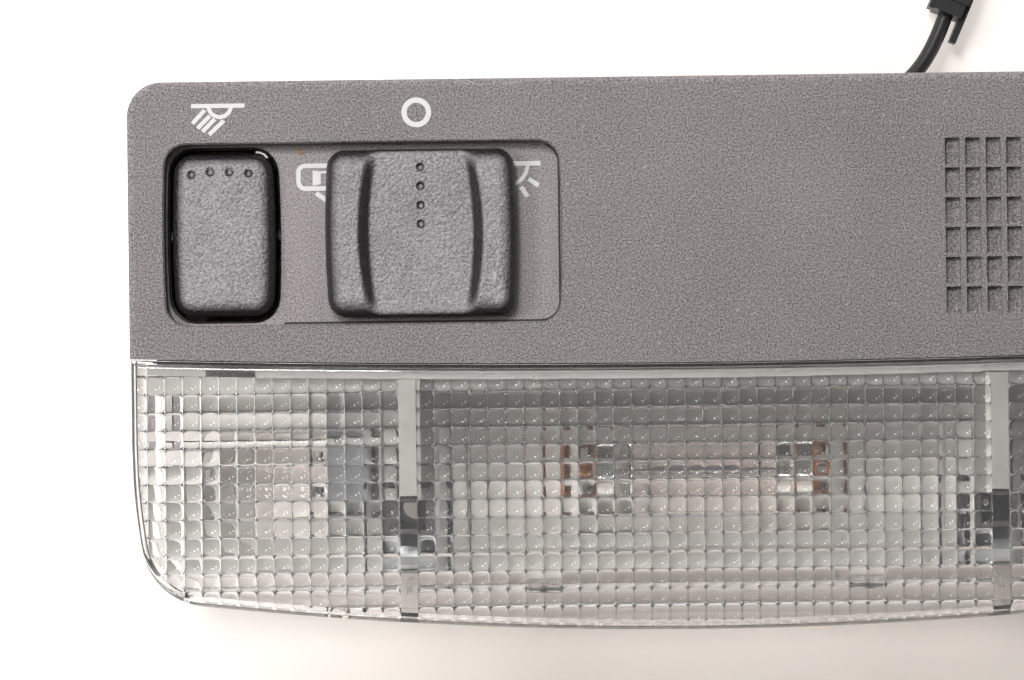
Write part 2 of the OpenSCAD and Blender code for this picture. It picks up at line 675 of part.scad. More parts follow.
// Brass strip: blade in the connector at place i, a leg, and a run along the carrier base
module strip(i, run) {
    w = strip_w / 2;
    x = i * blade_pitch;
    z0 = base_t;
    z1 = z0 + strip_t;
    color([0.78, 0.62, 0.3]) union() {
        box(x - blade_w / 2, x + blade_w / 2, leg_y - strip_t / 2, shroud_back_y + 8, blade_z, blade_z + strip_t);
        box(x - blade_w / 2, x + blade_w / 2, leg_y - strip_t / 2, leg_y + strip_t / 2, z0, blade_z + strip_t);
        for (k = [0:len(run) - 2]) let (a = run[k], b = run[k + 1])
            box(min(a[0], b[0]) - w, max(a[0], b[0]) + w, min(a[1], b[1]) - w, max(a[1], b[1]) + w, z0, z1);
        children();
    }
}
leg_y = shroud_back_y - 1.4;
strip_w = 2.6;
bulb_base_t = 2.4;
lamp_strip_x = holder_x0 + 3.8;
module tab(x, y, z) { box(x - strip_t / 2, x + strip_t / 2, y - 2.6, y + 2.6, base_t, z); }

module left_lamp_strip() {
    strip(-2, [[-2 * blade_pitch, leg_y], [-lamp_strip_x, leg_y], [-lamp_strip_x, lamp_y + 2.6]])
        tab(-lamp_strip_x + 1.3, lamp_y + 1.4, lamp_z - bulb_base_t / 2);
}
module right_lamp_strip() {
    strip(2, [[2 * blade_pitch, leg_y], [lamp_strip_x, leg_y], [lamp_strip_x, lamp_y + 2.6]])
        tab(lamp_strip_x - 1.3, lamp_y + 1.4, lamp_z - bulb_base_t / 2);
}
module supply_strip() {
    strip(0, [[0, leg_y], [0, 4], [-contact_x, 4], [-contact_x, lamp_y]]);
}
module ground_strip() {
    strip(1, [[blade_pitch, leg_y], [blade_pitch, 4], [contact_x, 4], [contact_x, lamp_y]]);
}
module door_strip() {
    x = knob_x + rail_l / 2 + 1.6;
    strip(-1, [[-blade_pitch, leg_y], [-blade_pitch, leg_y - 5], [x, leg_y - 5], [x, recess_y]])
        box(x - 1.2, x - 1.2 + strip_t, recess_y - 1.3, recess_y + 1.3, base_t, channel_low_z);
}
contact_x = dome_bulb_l / 2 + 0.4;

module rocker_frame(s) color([0.9, 0.89, 0.86]) {
    at(s * rocker_x, recess_y) difference() {
        box(-frame_w / 2, frame_w / 2, -frame_l / 2, frame_l / 2, floor_low_z - frame_h, floor_low_z);
        prism(barrel(aperture_w - 0.5, aperture_h - 0.7, rocker_r + rocker_gap, rocker_bulge),
            floor_low_z - frame_h - 1, floor_low_z + 1);
        at(0, 0, pivot_z) rotate([0, 90, 0]) cylinder(r = pivot_r + pivot_clear, h = frame_w + 2, center = true);
    }
}
module rocker_frame_left() { rocker_frame(-1); }
module rocker_frame_right() { rocker_frame(1); }

// Rocker: barrel-sided cap with rounded edges, hollow below, on two pivots
module rocker(s) color([0.25, 0.24, 0.24]) {
    edge = [for (a = [0:22.5:90]) [rocker_top_z - rocker_edge_r * (1 - sin(a)), rocker_edge_r * (1 - cos(a))]];
    at(s * rocker_x, recess_y) {
        difference() {
            loft([for (e = concat([[rocker_low_z, 0]], edge))
                [e[0], barrel(rocker_w - 2 * e[1], rocker_h - 2 * e[1], rocker_r - e[1], rocker_bulge)]]);
            box(-rocker_w / 2 + 2.4, rocker_w / 2 - 2.4, -rocker_h / 2 + 2.2, rocker_h / 2 - 2.2,
                rocker_low_z - 1, rocker_top_z - 2.6);
            for (i = [-1.5:1.5]) at(i * 3.3, rocker_h / 2 - 3.9, rocker_top_z) sphere(r = 0.75);
        }
        for (t = [-1, 1]) at(t * (rocker_w / 2 - 1.2), 0, pivot_z) rotate([0, 90, 0])
            cylinder(r = pivot_r, h = 2 * (rocker_gap + 1.2 + frame_wall - 0.4), center = true);
        // tongue that tilts the contact
        box(-3, 3, -rocker_h / 2 + 2, rocker_h / 2 - 2, pivot_z + 1.8, rocker_top_z - 2);
    }
}
module map_rocker_left() { rocker(-1); }
module map_rocker_right() { rocker(1); }

module rocker_contact(s) color([0.78, 0.62, 0.3]) {
    at(s * rocker_x, recess_y, base_t) {
        box(-2, 2, -8, 8, 0, 0.6);
        box(-2, 2, -8, -7.4, 0, pivot_z - base_t - 7);
        box(-2, 2, 7.4, 8, 0, pivot_z - base_t - 7);
        box(-2, 2, -8, 8, pivot_z - base_t - 7, pivot_z - base_t - 6.4);
    }
}
module rocker_contact_left() { rocker_contact(-1); }
module rocker_contact_right() { rocker_contact(1); }

saddle_r = pow(knob_h / 2, 2) / (2 * saddle_dip);
// Top of the saddle at a place along the ribs
function saddle_z(y) = floor_z + saddle_rise - saddle_dip * (1 - pow(2 * y / knob_h, 2));

// Slide knob: a saddle between two ribs, on a stem with a long foot
module slide_knob() color([0.25, 0.24, 0.24]) {
    rib_l = (knob_l - saddle_l) / 2;
    k = 0.03;
    edge_r = 1.5;
    base_edge = [for (a = [0:30:90]) [floor_z + saddle_rise - edge_r * (1 - sin(a)), edge_r * (1 - cos(a))]];
    rib_edge = [for (a = [0:22.5:90]) [floor_z + rib_rise - 2.6 * (1 - sin(a)), 2.6 * (1 - cos(a))]];
    at(knob_x, recess_y) difference() {
        union() {
            loft([for (e = concat([[knob_low_z, 0]], base_edge))
                [e[0], barrel(knob_l - 2 * e[1], knob_h - 2 * e[1], 3 - e[1], k)]]);
            for (s = [-1, 1]) intersection() {
                at(s * (knob_l - rib_l) / 2, 0) loft([for (e = concat([[knob_low_z, 0]], rib_edge))
                    [e[0], [for (p = barrel(rib_l - 2 * e[1], knob_h - 2 * e[1], 3 - e[1], 0))
                        [p[0] - s * 0.9 * pow(2 * p[1] / knob_h, 2), p[1]]]]]);
                prism(barrel(knob_l, knob_h, 3, k), knob_low_z, floor_z + rib_rise + 1);
            }
            box(-stem_l / 2, stem_l / 2, -stem_w / 2, stem_w / 2, foot_low_z, knob_low_z + 1);
            box(-foot_l / 2, foot_l / 2, -foot_w / 2, foot_w / 2, foot_low_z, foot_top_z);
        }
        // long hollow between the ribs
        along_x(0, 0, saddle_z(0) + saddle_r) cylinder(r = saddle_r, h = saddle_l - 1.8, center = true, $fn = 720);
        for (i = [0:3]) let (y = knob_h / 2 - 3.2 - 3.3 * i) at(0, y, saddle_z(y)) sphere(r = 0.75);
        // detent notches
        for (i = [-1:1]) at(i * knob_travel, foot_w / 2 + 1, foot_low_z - 1) cylinder(r = ball_r + 0.1, h = foot_t + 2);
    }
}

module slide_wiper() color([0.78, 0.62, 0.3]) {
    at(knob_x, recess_y) {
        box(-6, 6, -2.6, 2.6, foot_low_z - wiper_t, foot_low_z);
        for (x = [-4.5, 4.5]) at(x, 0, foot_low_z - wiper_t - 0.7) cylinder(r = 1, h = 0.8);
    }
}

module slide_rail() color([0.9, 0.89, 0.86]) {
    at(knob_x, recess_y) difference() {
        box(-rail_l / 2, rail_l / 2, -rail_w / 2, rail_w / 2, rail_low_z, floor_low_z);
        box(-channel_l / 2, channel_l / 2, -channel_w / 2, channel_w / 2, channel_low_z, floor_low_z + 1);
        // bore of the detent ball and its spring
        at(0, foot_w / 2 + slide_gap, (foot_top_z + foot_low_z) / 2) rotate([-90, 0, 0])
            translate([0, 0, -1]) cylinder(r = ball_r + 0.05, h = detent_depth + 1);
    }
}

ball_y = recess_y + foot_w / 2 + 0.06 + ball_r;
ball_z = (foot_top_z + foot_low_z) / 2;
module detent_ball() color([0.7, 0.7, 0.72]) {
    at(knob_x, ball_y, ball_z) sphere(r = ball_r);
}

// Coil spring behind the ball
module detent_spring() color([0.6, 0.6, 0.62]) {
    wire = 0.2;
    coil_r = ball_r - 0.45;
    y0 = ball_y + sqrt(pow(ball_r + wire, 2) - pow(coil_r, 2)) + 0.03;
    y1 = recess_y + foot_w / 2 + slide_gap + detent_depth - wire - 0.02;
    n = 14 * spring_turns;
    sides = 6;
    ring = function(i) let (a = 360 * spring_turns * i / n, c = [coil_r * cos(a), y0 + (y1 - y0) * i / n, coil_r * sin(a)],
        u = [cos(a), 0, sin(a)]) [for (j = [0:sides - 1]) let (b = 360 * j / sides) c + wire * (cos(b) * u + [0, sin(b), 0])];
    points = [for (i = [0:n]) each ring(i)];
    at(knob_x, 0, ball_z) polyhedron(points = points, faces = concat(
        [for (i = [0:n - 1]) for (j = [0:sides - 1]) let (k = (j + 1) % sides)
            each [[i * sides + j, (i + 1) * sides + k, (i + 1) * sides + j], [i * sides + j, i * sides + k, (i + 1) * sides + k]]],
        [[for (j = [sides - 1:-1:0]) j]], [[for (j = [0:sides - 1]) n * sides + j]]
    ), convexity = 6);
}

module microphone_holder() color([0.12, 0.12, 0.12]) {
    at(capsule_x, capsule_y) difference() {
        at(0, 0, holder_low_z) cylinder(d = capsule_d + 2 * holder_wall, h = plate_z - holder_low_z);
        at(0, 0, holder_low_z + holder_wall) cylinder(d = capsule_d + 0.1, h = capsule_h + 1);
        box(-1.6, 1.6, 0, capsule_d, holder_low_z - 1, holder_low_z + holder_wall + 1);
    }
}
module microphone_capsule() color([0.7, 0.7, 0.7]) {
    at(capsule_x, capsule_y, holder_low_z + holder_wall) difference() {
        cylinder(d = capsule_d, h = capsule_h - 0.1);
        at(0, 0, capsule_h - 0.5) cylinder(d = 5, h = 1);
    }
}

// Four pan-head screws that hold the carrier to the housing
module carrier_screws() color([0.7, 0.7, 0.72]) {
    for (x = [-1, 1], y = screw_ys) at(x * screw_x, y, 0) difference() {
        union() {
            at(0, 0, 1) cylinder(r = 2 * screw_r, h = 2);
            at(0, 0, 2.5) cylinder(r = screw_r, h = rim_z + 7);
        }
        for (a = [0, 90]) rotate([0, 0, a]) box(-1.8, 1.8, -0.35, 0.35, 0, 2.2);
    }
}

// Sheet-steel spring that grips the roof bracket, its bow showing beside the screw well
module retaining_spring(s) color([0.6, 0.61, 0.62]) {
    t = 0.5;
    y1 = clip_y - 0.1;
    y0 = clip_y - clip_len;
    z = tray_z;
    leg = clip_leg_y;
    outside = [[leg, base_t], [leg, z], [y0, z + 3], [y0 + 0.8, z + 5.4], [y0 + 2.4, z + 6.4], [y0 + 4.2, z + 6],
        [y1, z + 4.6], [y1, rim_z + 0.6]];
    inside = [[y1 - t, rim_z + 0.6], [y1 - t, z + 4.3], [y0 + 4.1, z + 5.5], [y0 + 2.5, z + 5.9],
        [y0 + 1.2, z + 5.1], [y0 + t, z + 3], [leg + t, z], [leg + t, base_t + t], [leg + 1.7, base_t + t],
        [leg + 1.7, base_t]];
    at(s * roof_screw_x - clip_w / 2, 0, 0) multmatrix([[0, 0, 1, 0], [1, 0, 0, 0], [0, 1, 0, 0], [0, 0, 0, 1]])
        linear_extrude(clip_w) polygon(concat(outside, inside));
}
module retaining_spring_left() { retaining_spring(-1); }
module retaining_spring_right() { retaining_spring(1); }

glass_l = dome_bulb_l - 2 * cap_l;
module along_x(x, y, z) { translate([x, y, z]) rotate([0, 90, 0]) children(); }

module dome_bulb_glass() color([0.9, 0.85, 0.83, 0.5]) {
    r = dome_bulb_d / 2;
    e = glass_l / 2;
    along_x(0, lamp_y, lamp_z) rotate_extrude() polygon([
        [r - 2, -e - 1.6], [r - 1.4, -e - 1.6], [r - 1.4, -e], [r, -e + 1.6], [r, e - 1.6], [r - 1.4, e], [r - 1.4, e + 1.6],
        [r - 2, e + 1.6], [r - 1.8, e - 0.2], [r - 0.6, e - 1.9], [r - 0.6, -e + 1.9], [r - 1.8, -e + 0.2]]);
}
module dome_cap(s) color([0.8, 0.8, 0.78]) {
    r = dome_bulb_d / 2 - 1.35;
    a = glass_l / 2 + 0.05;
    b = dome_bulb_l / 2;
    along_x(0, lamp_y, lamp_z) mirror([0, 0, s < 0 ? 1 : 0]) rotate_extrude() polygon([
        [r, a], [r + 0.35, a], [r + 0.35, b - 3], [r - 0.4, b - 2.2], [1.4, b - 0.5], [0.9, b], [0, b],
        [0, b - 0.9], [1.2, b - 1.1], [r - 0.8, b - 2.9], [r - 0.3, b - 3.4], [r - 0.3, a + 1.7], [r, a + 1.7]]);
}
module dome_bulb_cap_left() { dome_cap(-1); }
module dome_bulb_cap_right() { dome_cap(1); }
module dome_bulb_filament() color([0.5, 0.5, 0.5]) {
    along_x(0, lamp_y, lamp_z) {
        cylinder(r = 0.2, h = dome_bulb_l - 1.9, center = true);
        cylinder(r = 0.45, h = glass_l * 0.55, center = true);
        for (s = [-1, 1]) translate([0, 0, s * (dome_bulb_l / 2 - 3.9)]) cylinder(r = 1.2, h = 1, center = true);
    }
}

// Copper finger with a hole for the tip of a bulb cap
module dome_contact(s) color([0.75, 0.5, 0.3]) {
    x = s * contact_x;
    difference() {
        union() {
            box(x - 0.3, x + 0.3, lamp_y - 4, lamp_y + 4, base_t + strip_t, lamp_z + 5.5);
            box(x - 2, x + 2, lamp_y - 4, lamp_y + 4, base_t + strip_t, base_t + strip_t + 0.6);
        }
        along_x(x, lamp_y, lamp_z) cylinder(r = 1.6, h = 3, center = true);
    }
}
module dome_contact_left() { dome_contact(-1); }
module dome_contact_right() { dome_contact(1); }

// Wedge-base bulb lying along the face, its base towards the middle
module map_bulb(s) color([0.9, 0.88, 0.86, 0.5]) {
    r = map_bulb_d / 2;
    l = map_bulb_l;
    mirror([s < 0 ? 1 : 0, 0, 0]) along_x(holder_x1 - 5.6, lamp_y, lamp_z) {
        translate([0, 0, 6]) rotate_extrude() polygon([
            [0, 0], [3.2, 0], [3.8, 1], [r, 4], [r, l - 12], [r * 0.86, l - 9], [r * 0.55, l - 7], [0, l - 6]]);
        translate([-bulb_base_t / 2, -3.9, 0]) cube([bulb_base_t, 7.8, 7]);
    }
}
module map_bulb_left() { map_bulb(-1); }
module map_bulb_right() { map_bulb(1); }

module map_holder(s) color([0.35, 0.35, 0.36]) {
    mirror([s < 0 ? 1 : 0, 0, 0]) difference() {
        box(holder_x0, holder_x1, lamp_y - holder_w / 2, lamp_y + holder_w / 2, base_t, lamp_z + 3.4);
        box(holder_x0 + 1.5, holder_x1 + 1, lamp_y - 4.1, lamp_y + 4.1, lamp_z - bulb_base_t / 2 - 0.25,
            lamp_z + bulb_base_t / 2 + 0.25);
        // passage of the lamp strip
        box(holder_x0 - 1, holder_x1 + 1, lamp_y - 2, lamp_y + 4.6, base_t - 1, lamp_z - 0.8);
        box(holder_x0 - 1, holder_x1 + 1, lamp_y + 4, lamp_y + holder_w / 2 + 1, base_t - 1, base_t + strip_t + 0.4);
    }
}
module map_holder_left() { map_holder(-1); }
module map_holder_right() { map_holder(1); }

// Clip on the carrier's wall that the lead comes out of
module lead_clip() color([0.1, 0.1, 0.1]) {
    x0 = shroud_w / 2 + 0.6;
    box(x0, x0 + 2.6, carrier_top_y, carrier_top_y + 6.4, 5.4, rim_z - 3.6);
    along_x(x0, lead_y, lead_z) cylinder(r1 = 2.9, r2 = 1.9, h = lead_route[0][0] - x0);
}

// Round tube swept along the route
module microphone_lead() color([0.1, 0.1, 0.1]) {
    sides = 8;
    n = len(lead_route);
    tangent = function(i) let (v = lead_route[min(i + 1, n - 1)] - lead_route[max(i - 1, 0)])
        i == 0 ? [1, 0, 0] : i == n - 1 ? [cos(plug_dir), sin(plug_dir), 0] : v / norm(v);
    ring = function(i) let (t = tangent(i), u = cross([0, 0, 1], t), w = cross(t, u) / norm(u))
        [for (j = [0:sides - 1]) let (a = 360 * j / sides)
            lead_route[i] + lead_d / 2 * (cos(a) * u / norm(u) + sin(a) * w)];
    points = [for (i = [0:n - 1]) each ring(i)];
    polyhedron(points = points, faces = concat(
        [for (i = [0:n - 2]) for (j = [0:sides - 1]) let (k = (j + 1) % sides)
            each [[i * sides + j, (i + 1) * sides + j, (i + 1) * sides + k], [i * sides + j, (i + 1) * sides + k, i * sides + k]]],
        [[for (j = [0:sides - 1]) j]], [[for (j = [sides - 1:-1:0]) (n - 1) * sides + j]]
    ), convexity = 4);
}

// Plug with two backward latch arms, lying on the surface
module lead_plug() color([0.08, 0.08, 0.08]) {
    translate([plug_base[0], plug_base[1], 0]) rotate([0, 0, plug_dir]) {
        difference() {
            union() {
                box(0, plug_l, -plug_w / 2, plug_w / 2, 0, plug_h);
                box(2.5, 4, -plug_w / 2 - 0.5, plug_w / 2 + 0.5, 0, plug_h + 0.4);
            }
            box(6, plug_l + 1, -plug_w / 2 + 1.1, plug_w / 2 - 1.1, 1.1, plug_h - 1.1);
        }
        for (s = [-1, 1]) hull() {
            box(0, 7, s * (plug_w / 2 + 0.4) - 0.6, s * (plug_w / 2 + 0.4) + 0.6, 2.2, plug_h - 1.6);
            box(-3.4 + s, -3, s * (plug_w / 2 + 0.4) - 0.6, s * (plug_w / 2 + 0.4) + 0.6, 2.8, plug_h - 2.2);
        }
    }
}
module plug_pins() color([0.78, 0.62, 0.3]) {
    translate([plug_base[0], plug_base[1], 0]) rotate([0, 0, plug_dir])
        for (i = [-1:1]) box(6, 13, i - 0.25, i + 0.25, plug_h / 2 - 0.25, plug_h / 2 + 0.25);
}

housing();
lens();
reflector();
carrier();
connector_shroud();
supply_strip();
ground_strip();
door_strip();
left_lamp_strip();
right_lamp_strip();
rocker_frame_left();
rocker_frame_right();
map_rocker_left();
map_rocker_right();
rocker_contact_left();
rocker_contact_right();
slide_knob();
slide_wiper();
slide_rail();
detent_ball();
detent_spring();
microphone_capsule();
microphone_holder();
carrier_screws();
retaining_spring_left();
retaining_spring_right();
dome_bulb_glass();
dome_bulb_cap_left();
dome_bulb_cap_right();
dome_bulb_filament();
dome_contact_left();
dome_contact_right();
map_bulb_left();
map_bulb_right();
map_holder_left();
map_holder_right();
lead_clip();
microphone_lead();
lead_plug();
plug_pins();
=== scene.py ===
# %% [markdown]
# # An overhead light for a car, lying on its back
# The forty parts of the light are already modelled at full size. This
# lesson dresses them: it sets the camera, lays the short lead, moulds the
# clear lens with its pillow cells, prints the symbols, and gives every part
# a finish that is worked out from the place on its surface.

# %% The fixed frame
import json
import math

import bmesh
import bpy
import numpy as np
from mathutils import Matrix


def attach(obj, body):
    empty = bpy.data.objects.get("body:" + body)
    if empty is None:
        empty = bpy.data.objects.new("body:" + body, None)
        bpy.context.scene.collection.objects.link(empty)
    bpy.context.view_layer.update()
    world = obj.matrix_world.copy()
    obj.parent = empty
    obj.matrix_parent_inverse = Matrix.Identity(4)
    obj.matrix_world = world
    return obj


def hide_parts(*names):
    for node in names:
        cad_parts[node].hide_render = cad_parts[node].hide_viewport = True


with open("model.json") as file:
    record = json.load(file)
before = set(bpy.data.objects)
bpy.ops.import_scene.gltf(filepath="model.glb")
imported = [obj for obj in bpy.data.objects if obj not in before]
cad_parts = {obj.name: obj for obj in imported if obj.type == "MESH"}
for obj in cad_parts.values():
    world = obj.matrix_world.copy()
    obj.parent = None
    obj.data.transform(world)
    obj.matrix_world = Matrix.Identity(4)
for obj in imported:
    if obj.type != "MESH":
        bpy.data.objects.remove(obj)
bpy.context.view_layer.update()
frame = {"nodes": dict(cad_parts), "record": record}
nodes = frame["nodes"]
MM = 0.001
scene = bpy.context.scene
scene.view_settings.view_transform = "Standard"
print("parts in the frame:", len(nodes))

# %% [markdown]
# ## Camera
# The light was looked at straight from above, a little to the left of its
# middle. The width of the picture at the face fixes the focal length once the
# height over the face is chosen. A small roll turns the face by 0.7 degrees.

# %% Camera
PICTURE_WIDTH_PX = 1024
MM_PER_PX = 0.1745
FACE_LEVEL = 36
FACE_Z = FACE_LEVEL * MM
CAMERA_HEIGHT = 0.56
LOOK_AT = (-33.3 * MM, 2.55 * MM)
ROLL = -0.0127

camera_data = bpy.data.cameras.new("camera")
camera_data.sensor_width = 36
picture_width = PICTURE_WIDTH_PX * MM_PER_PX * MM
camera_data.lens = camera_data.sensor_width * CAMERA_HEIGHT / picture_width
camera = bpy.data.objects.new("camera", camera_data)
camera.location = (LOOK_AT[0], LOOK_AT[1], FACE_Z + CAMERA_HEIGHT)
camera.rotation_euler = (0, 0, ROLL)
scene.collection.objects.link(camera)
scene.camera = camera
print("focal length in mm:", round(camera_data.lens, 1))

# %% [markdown]
# ## Shader maths in Python
# A finish is a small tree of nodes. Writing it as expressions keeps it short:
# a Level wraps one number that varies over the surface, and adding or
# multiplying Levels adds the Math nodes. Colours are mixed by Mix nodes.

# %% Places of the housing that the finishes read, in mm
SCREW_X = 51.5
SCREW_Y = -28.1
GRILLE_X = 54.5
GRILLE_HALF_W = 12.5
SKIRT_X = 97
SKIRT_Y = 43
WELL_R = 9.5
SLEEVE_R = 6.3
RECESS_FLOOR = 33
RECESS_LOW_Y = 5.7
RECESS_HIGH_Y = 37.3
RECESS_MIDDLE_Y = (RECESS_LOW_Y + RECESS_HIGH_Y) / 2
RECESS_HALF_L = 24.5
RECESS_R = 3.6

# %% Levels and finishes
class Level:
    """A number that varies over a surface; Python's operators add Math nodes."""

    def __init__(self, tree, socket):
        self.tree = tree
        self.socket = socket

    def join(self, operation, first, second):
        node = self.tree.nodes.new("ShaderNodeMath")
        node.operation = operation
        for socket, value in zip(node.inputs, (first, second)):
            if isinstance(value, Level):
                self.tree.links.new(value.socket, socket)
            else:
                socket.default_value = value
        return Level(self.tree, node.outputs[0])

    def __add__(self, other):
        return self.join("ADD", self, other)

    __radd__ = __add__

    def __sub__(self, other):
        return self.join("SUBTRACT", self, other)

    def __rsub__(self, other):
        return self.join("SUBTRACT", other, self)

    def __mul__(self, other):
        return self.join("MULTIPLY", self, other)

    __rmul__ = __mul__

    def absolute(self):
        return self.join("ABSOLUTE", self, 0.0)

    def root(self):
        return self.join("SQRT", self, 0.0)


def srgb(red, green, blue):
    """Linear colour of a screen colour: each share c goes to ((c + 0.055) / 1.055) ** 2.4."""
    shares = np.array([red, green, blue]) / 255
    linear = np.where(shares < 0.04045, shares / 12.92, ((shares + 0.055) / 1.055) ** 2.4)
    return (*linear.tolist(), 1)


class Finish:
    """One material, built node by node on Object coordinates."""

    def __init__(self, name):
        self.material = bpy.data.materials.new(name)
        self.material.use_nodes = True
        self.tree = self.material.node_tree
        self.tree.nodes.clear()
        self.output = self.tree.nodes.new("ShaderNodeOutputMaterial")
        self.place = self.node("ShaderNodeTexCoord").outputs["Object"]

    def node(self, kind, settings=None, inputs=None):
        made = self.tree.nodes.new(kind)
        for name, value in (settings or {}).items():
            setattr(made, name, value)
        for name, value in (inputs or {}).items():
            self.feed(made.inputs[name], value)
        return made

    def feed(self, socket, value):
        if isinstance(value, Level):
            value = value.socket
        if isinstance(value, bpy.types.NodeSocket):
            self.tree.links.new(value, socket)
        else:
            socket.default_value = value

    def stretched(self, scale):
        """Object coordinates times scale, one factor for each axis."""
        return self.node("ShaderNodeMapping", None, {"Vector": self.place, "Scale": scale}).outputs[0]

    def noise(self, size, detail=2, roughness=0.5, place=None):
        """Soft noise from 0 to 1 whose patches are about size metres wide."""
        made = self.node(
            "ShaderNodeTexNoise", None,
            {"Vector": place or self.place, "Scale": 1 / size, "Detail": detail, "Roughness": roughness},
        )
        return Level(self.tree, made.outputs["Fac"])

    def pebbles(self, size):
        """Distance from the middle of the nearest pebble, for pebbles of that size."""
        made = self.node(
            "ShaderNodeTexVoronoi", {"feature": "SMOOTH_F1"}, {"Vector": self.place, "Scale": 1 / size}
        )
        return Level(self.tree, made.outputs["Distance"])

    def axes(self):
        """Object coordinates as three Levels: across, along and height."""
        split = self.node("ShaderNodeSeparateXYZ", None, {"Vector": self.place})
        return [Level(self.tree, split.outputs[axis]) for axis in "XYZ"]

    def from_screws(self):
        """Distance from the middle of the nearest roof screw, seen from the front."""
        across, along, _ = self.axes()
        off_x = across.absolute() - SCREW_X * MM
        off_y = along - SCREW_Y * MM
        return (off_x * off_x + off_y * off_y).root()

    def facing_up(self):
        """The knobs' own attribute, 1 on level ground and 0 on a wall; mark_slopes writes it."""
        made = self.node("ShaderNodeAttribute", {"attribute_name": "facing_up"})
        return Level(self.tree, made.outputs["Fac"])

    def ramp(self, level, low, high):
        """Level stretched so that low becomes 0 and high becomes 1, held there outside. Low may be
        the larger of the two, and then the result falls where the level rises."""
        made = self.node(
            "ShaderNodeMapRange", {"clamp": True},
            {"Value": level, "From Min": low, "From Max": high},
        )
        return Level(self.tree, made.outputs[0])

    def blend(self, share, first, second):
        """Colour that goes from first to second as share goes from 0 to 1."""
        made = self.node("ShaderNodeMix", {"data_type": "RGBA"})
        self.feed(made.inputs[0], share)
        self.feed(made.inputs[6], first)
        self.feed(made.inputs[7], second)
        return made.outputs[2]

    def bump(self, height, depth):
        """Normal of a surface whose height level spans depth metres."""
        made = self.node("ShaderNodeBump", None, {"Height": height, "Distance": depth, "Strength": 1.0})
        return made.outputs[0]

    def principled(self, inputs):
        shader = self.node("ShaderNodeBsdfPrincipled", None, inputs)
        self.tree.links.new(shader.outputs[0], self.output.inputs["Surface"])
        return shader


GLOSS_SPREAD = 0.12


def plain_finish(name, dark, light, roughness, grain_size, grain_depth):
    """Moulded or rolled stuff: two near colours in soft patches, uneven gloss and a fine grain."""
    finish = Finish(name)
    patches = finish.noise(9 * MM, 4, 0.6)
    grain = finish.noise(grain_size, 2)
    finish.principled({
        "Base Color": finish.blend(patches * 0.7 + grain * 0.3, dark, light),
        "Roughness": roughness - GLOSS_SPREAD / 2 + GLOSS_SPREAD * patches,
        "Normal": finish.bump(grain, grain_depth),
    })
    return finish.material


# %% [markdown]
# ## The microphone lead
# A cord is one tube carried along its route. The route's points are given;
# a smooth curve through them gives the centre line, and a ring of
# points is set square to it at every step.

# %% Black jacket
jacket = plain_finish(
    "black_jacket", srgb(30, 29, 29), srgb(46, 44, 44), 0.42, 0.5 * MM, 0.02 * MM
)

# %% The lead as a tube along its route
LEAD_DIAMETER = 2.8 * MM
LEAD_ROUTE = np.array([
    (17, 44.4, 9.6), (20, 44.4, 9.5), (23, 44.5, 9.3), (26, 44.6, 9.1), (29, 44.9, 8.8),
    (32, 45.4, 8.4), (35, 46.3, 7.9), (37.8, 47.7, 7.3), (40.3, 49.6, 6.7),
    (42.5, 52, 6), (44.4, 54.9, 5.4), (46, 58.1, 4.8), (47.4, 61.5, 4.3),
]) * MM


def smooth_path(points, steps):
    """Curve through the points: on each stretch the cubic whose slope at a point is half the chord
    between that point's neighbours."""
    padded = np.vstack([2 * points[0] - points[1], points, 2 * points[-1] - points[-2]])
    before, start, end, after = (padded[i:len(padded) - 3 + i, None] for i in range(4))
    t = np.linspace(0, 1, steps, endpoint=False)[None, :, None]
    curve = 0.5 * (
        2 * start + (end - before) * t
        + (2 * before - 5 * start + 4 * end - after) * t ** 2
        + (3 * start - before - 3 * end + after) * t ** 3
    )
    return np.vstack([curve.reshape(-1, 3), points[-1]])


def path_length(path):
    return float(np.linalg.norm(np.diff(path, axis=0), axis=1).sum())


def grid_quads(rows, columns, around=False):
    """Quads of a grid whose points are numbered row by row; around joins the last column to the first."""
    across = np.arange(columns if around else columns - 1)
    r, c = np.meshgrid(np.arange(rows - 1), across, indexing="ij")
    n = (c + 1) % columns
    corners = (r * columns + c, r * columns + n, (r + 1) * columns + n, (r + 1) * columns + c)
    return np.stack(corners, -1).reshape(-1, 4)


def tube(path, radius, sides):
    """Points of rings along a path: centre + radius * (cos a * side + sin a * up), row by row,
    and the faces between them with both ends capped."""
    along = np.gradient(path, axis=0)
    along /= np.linalg.norm(along, axis=1, keepdims=True)
    side = np.cross(np.array([0.0, 0.0, 1.0]) + 1e-6, along)
    side /= np.linalg.norm(side, axis=1, keepdims=True)
    up = np.cross(along, side)
    a = np.linspace(0, 2 * np.pi, sides, endpoint=False)[None, :, None]
    radius = np.broadcast_to(radius, len(path))[:, None, None]
    rings = path[:, None] + radius * (np.cos(a) * side[:, None] + np.sin(a) * up[:, None])
    faces = grid_quads(len(path), sides, around=True).tolist()
    last = (len(path) - 1) * sides
    caps = [list(range(sides))[::-1], list(range(last, last + sides))]
    return rings.reshape(-1, 3), faces + caps


def make_piece(name, points, faces, finish, body, crease=math.radians(35)):
    """A finished piece at the origin; edges sharper than crease stay sharp, the rest is smooth."""
    mesh = bpy.data.meshes.new(name)
    mesh.from_pydata(np.asarray(points).tolist(), [], faces)
    work = bmesh.new()
    work.from_mesh(mesh)
    bmesh.ops.remove_doubles(work, verts=work.verts, dist=0.0005 * MM)
    bmesh.ops.recalc_face_normals(work, faces=work.faces)
    work.to_mesh(mesh)
    work.free()
    mesh.shade_smooth()
    mesh.set_sharp_from_angle(angle=crease)
    mesh.materials.append(finish)
    piece = bpy.data.objects.new(name, mesh)
    scene.collection.objects.link(piece)
    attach(piece, body)
    print(name, "has", len(mesh.polygons), "faces")
    return piece


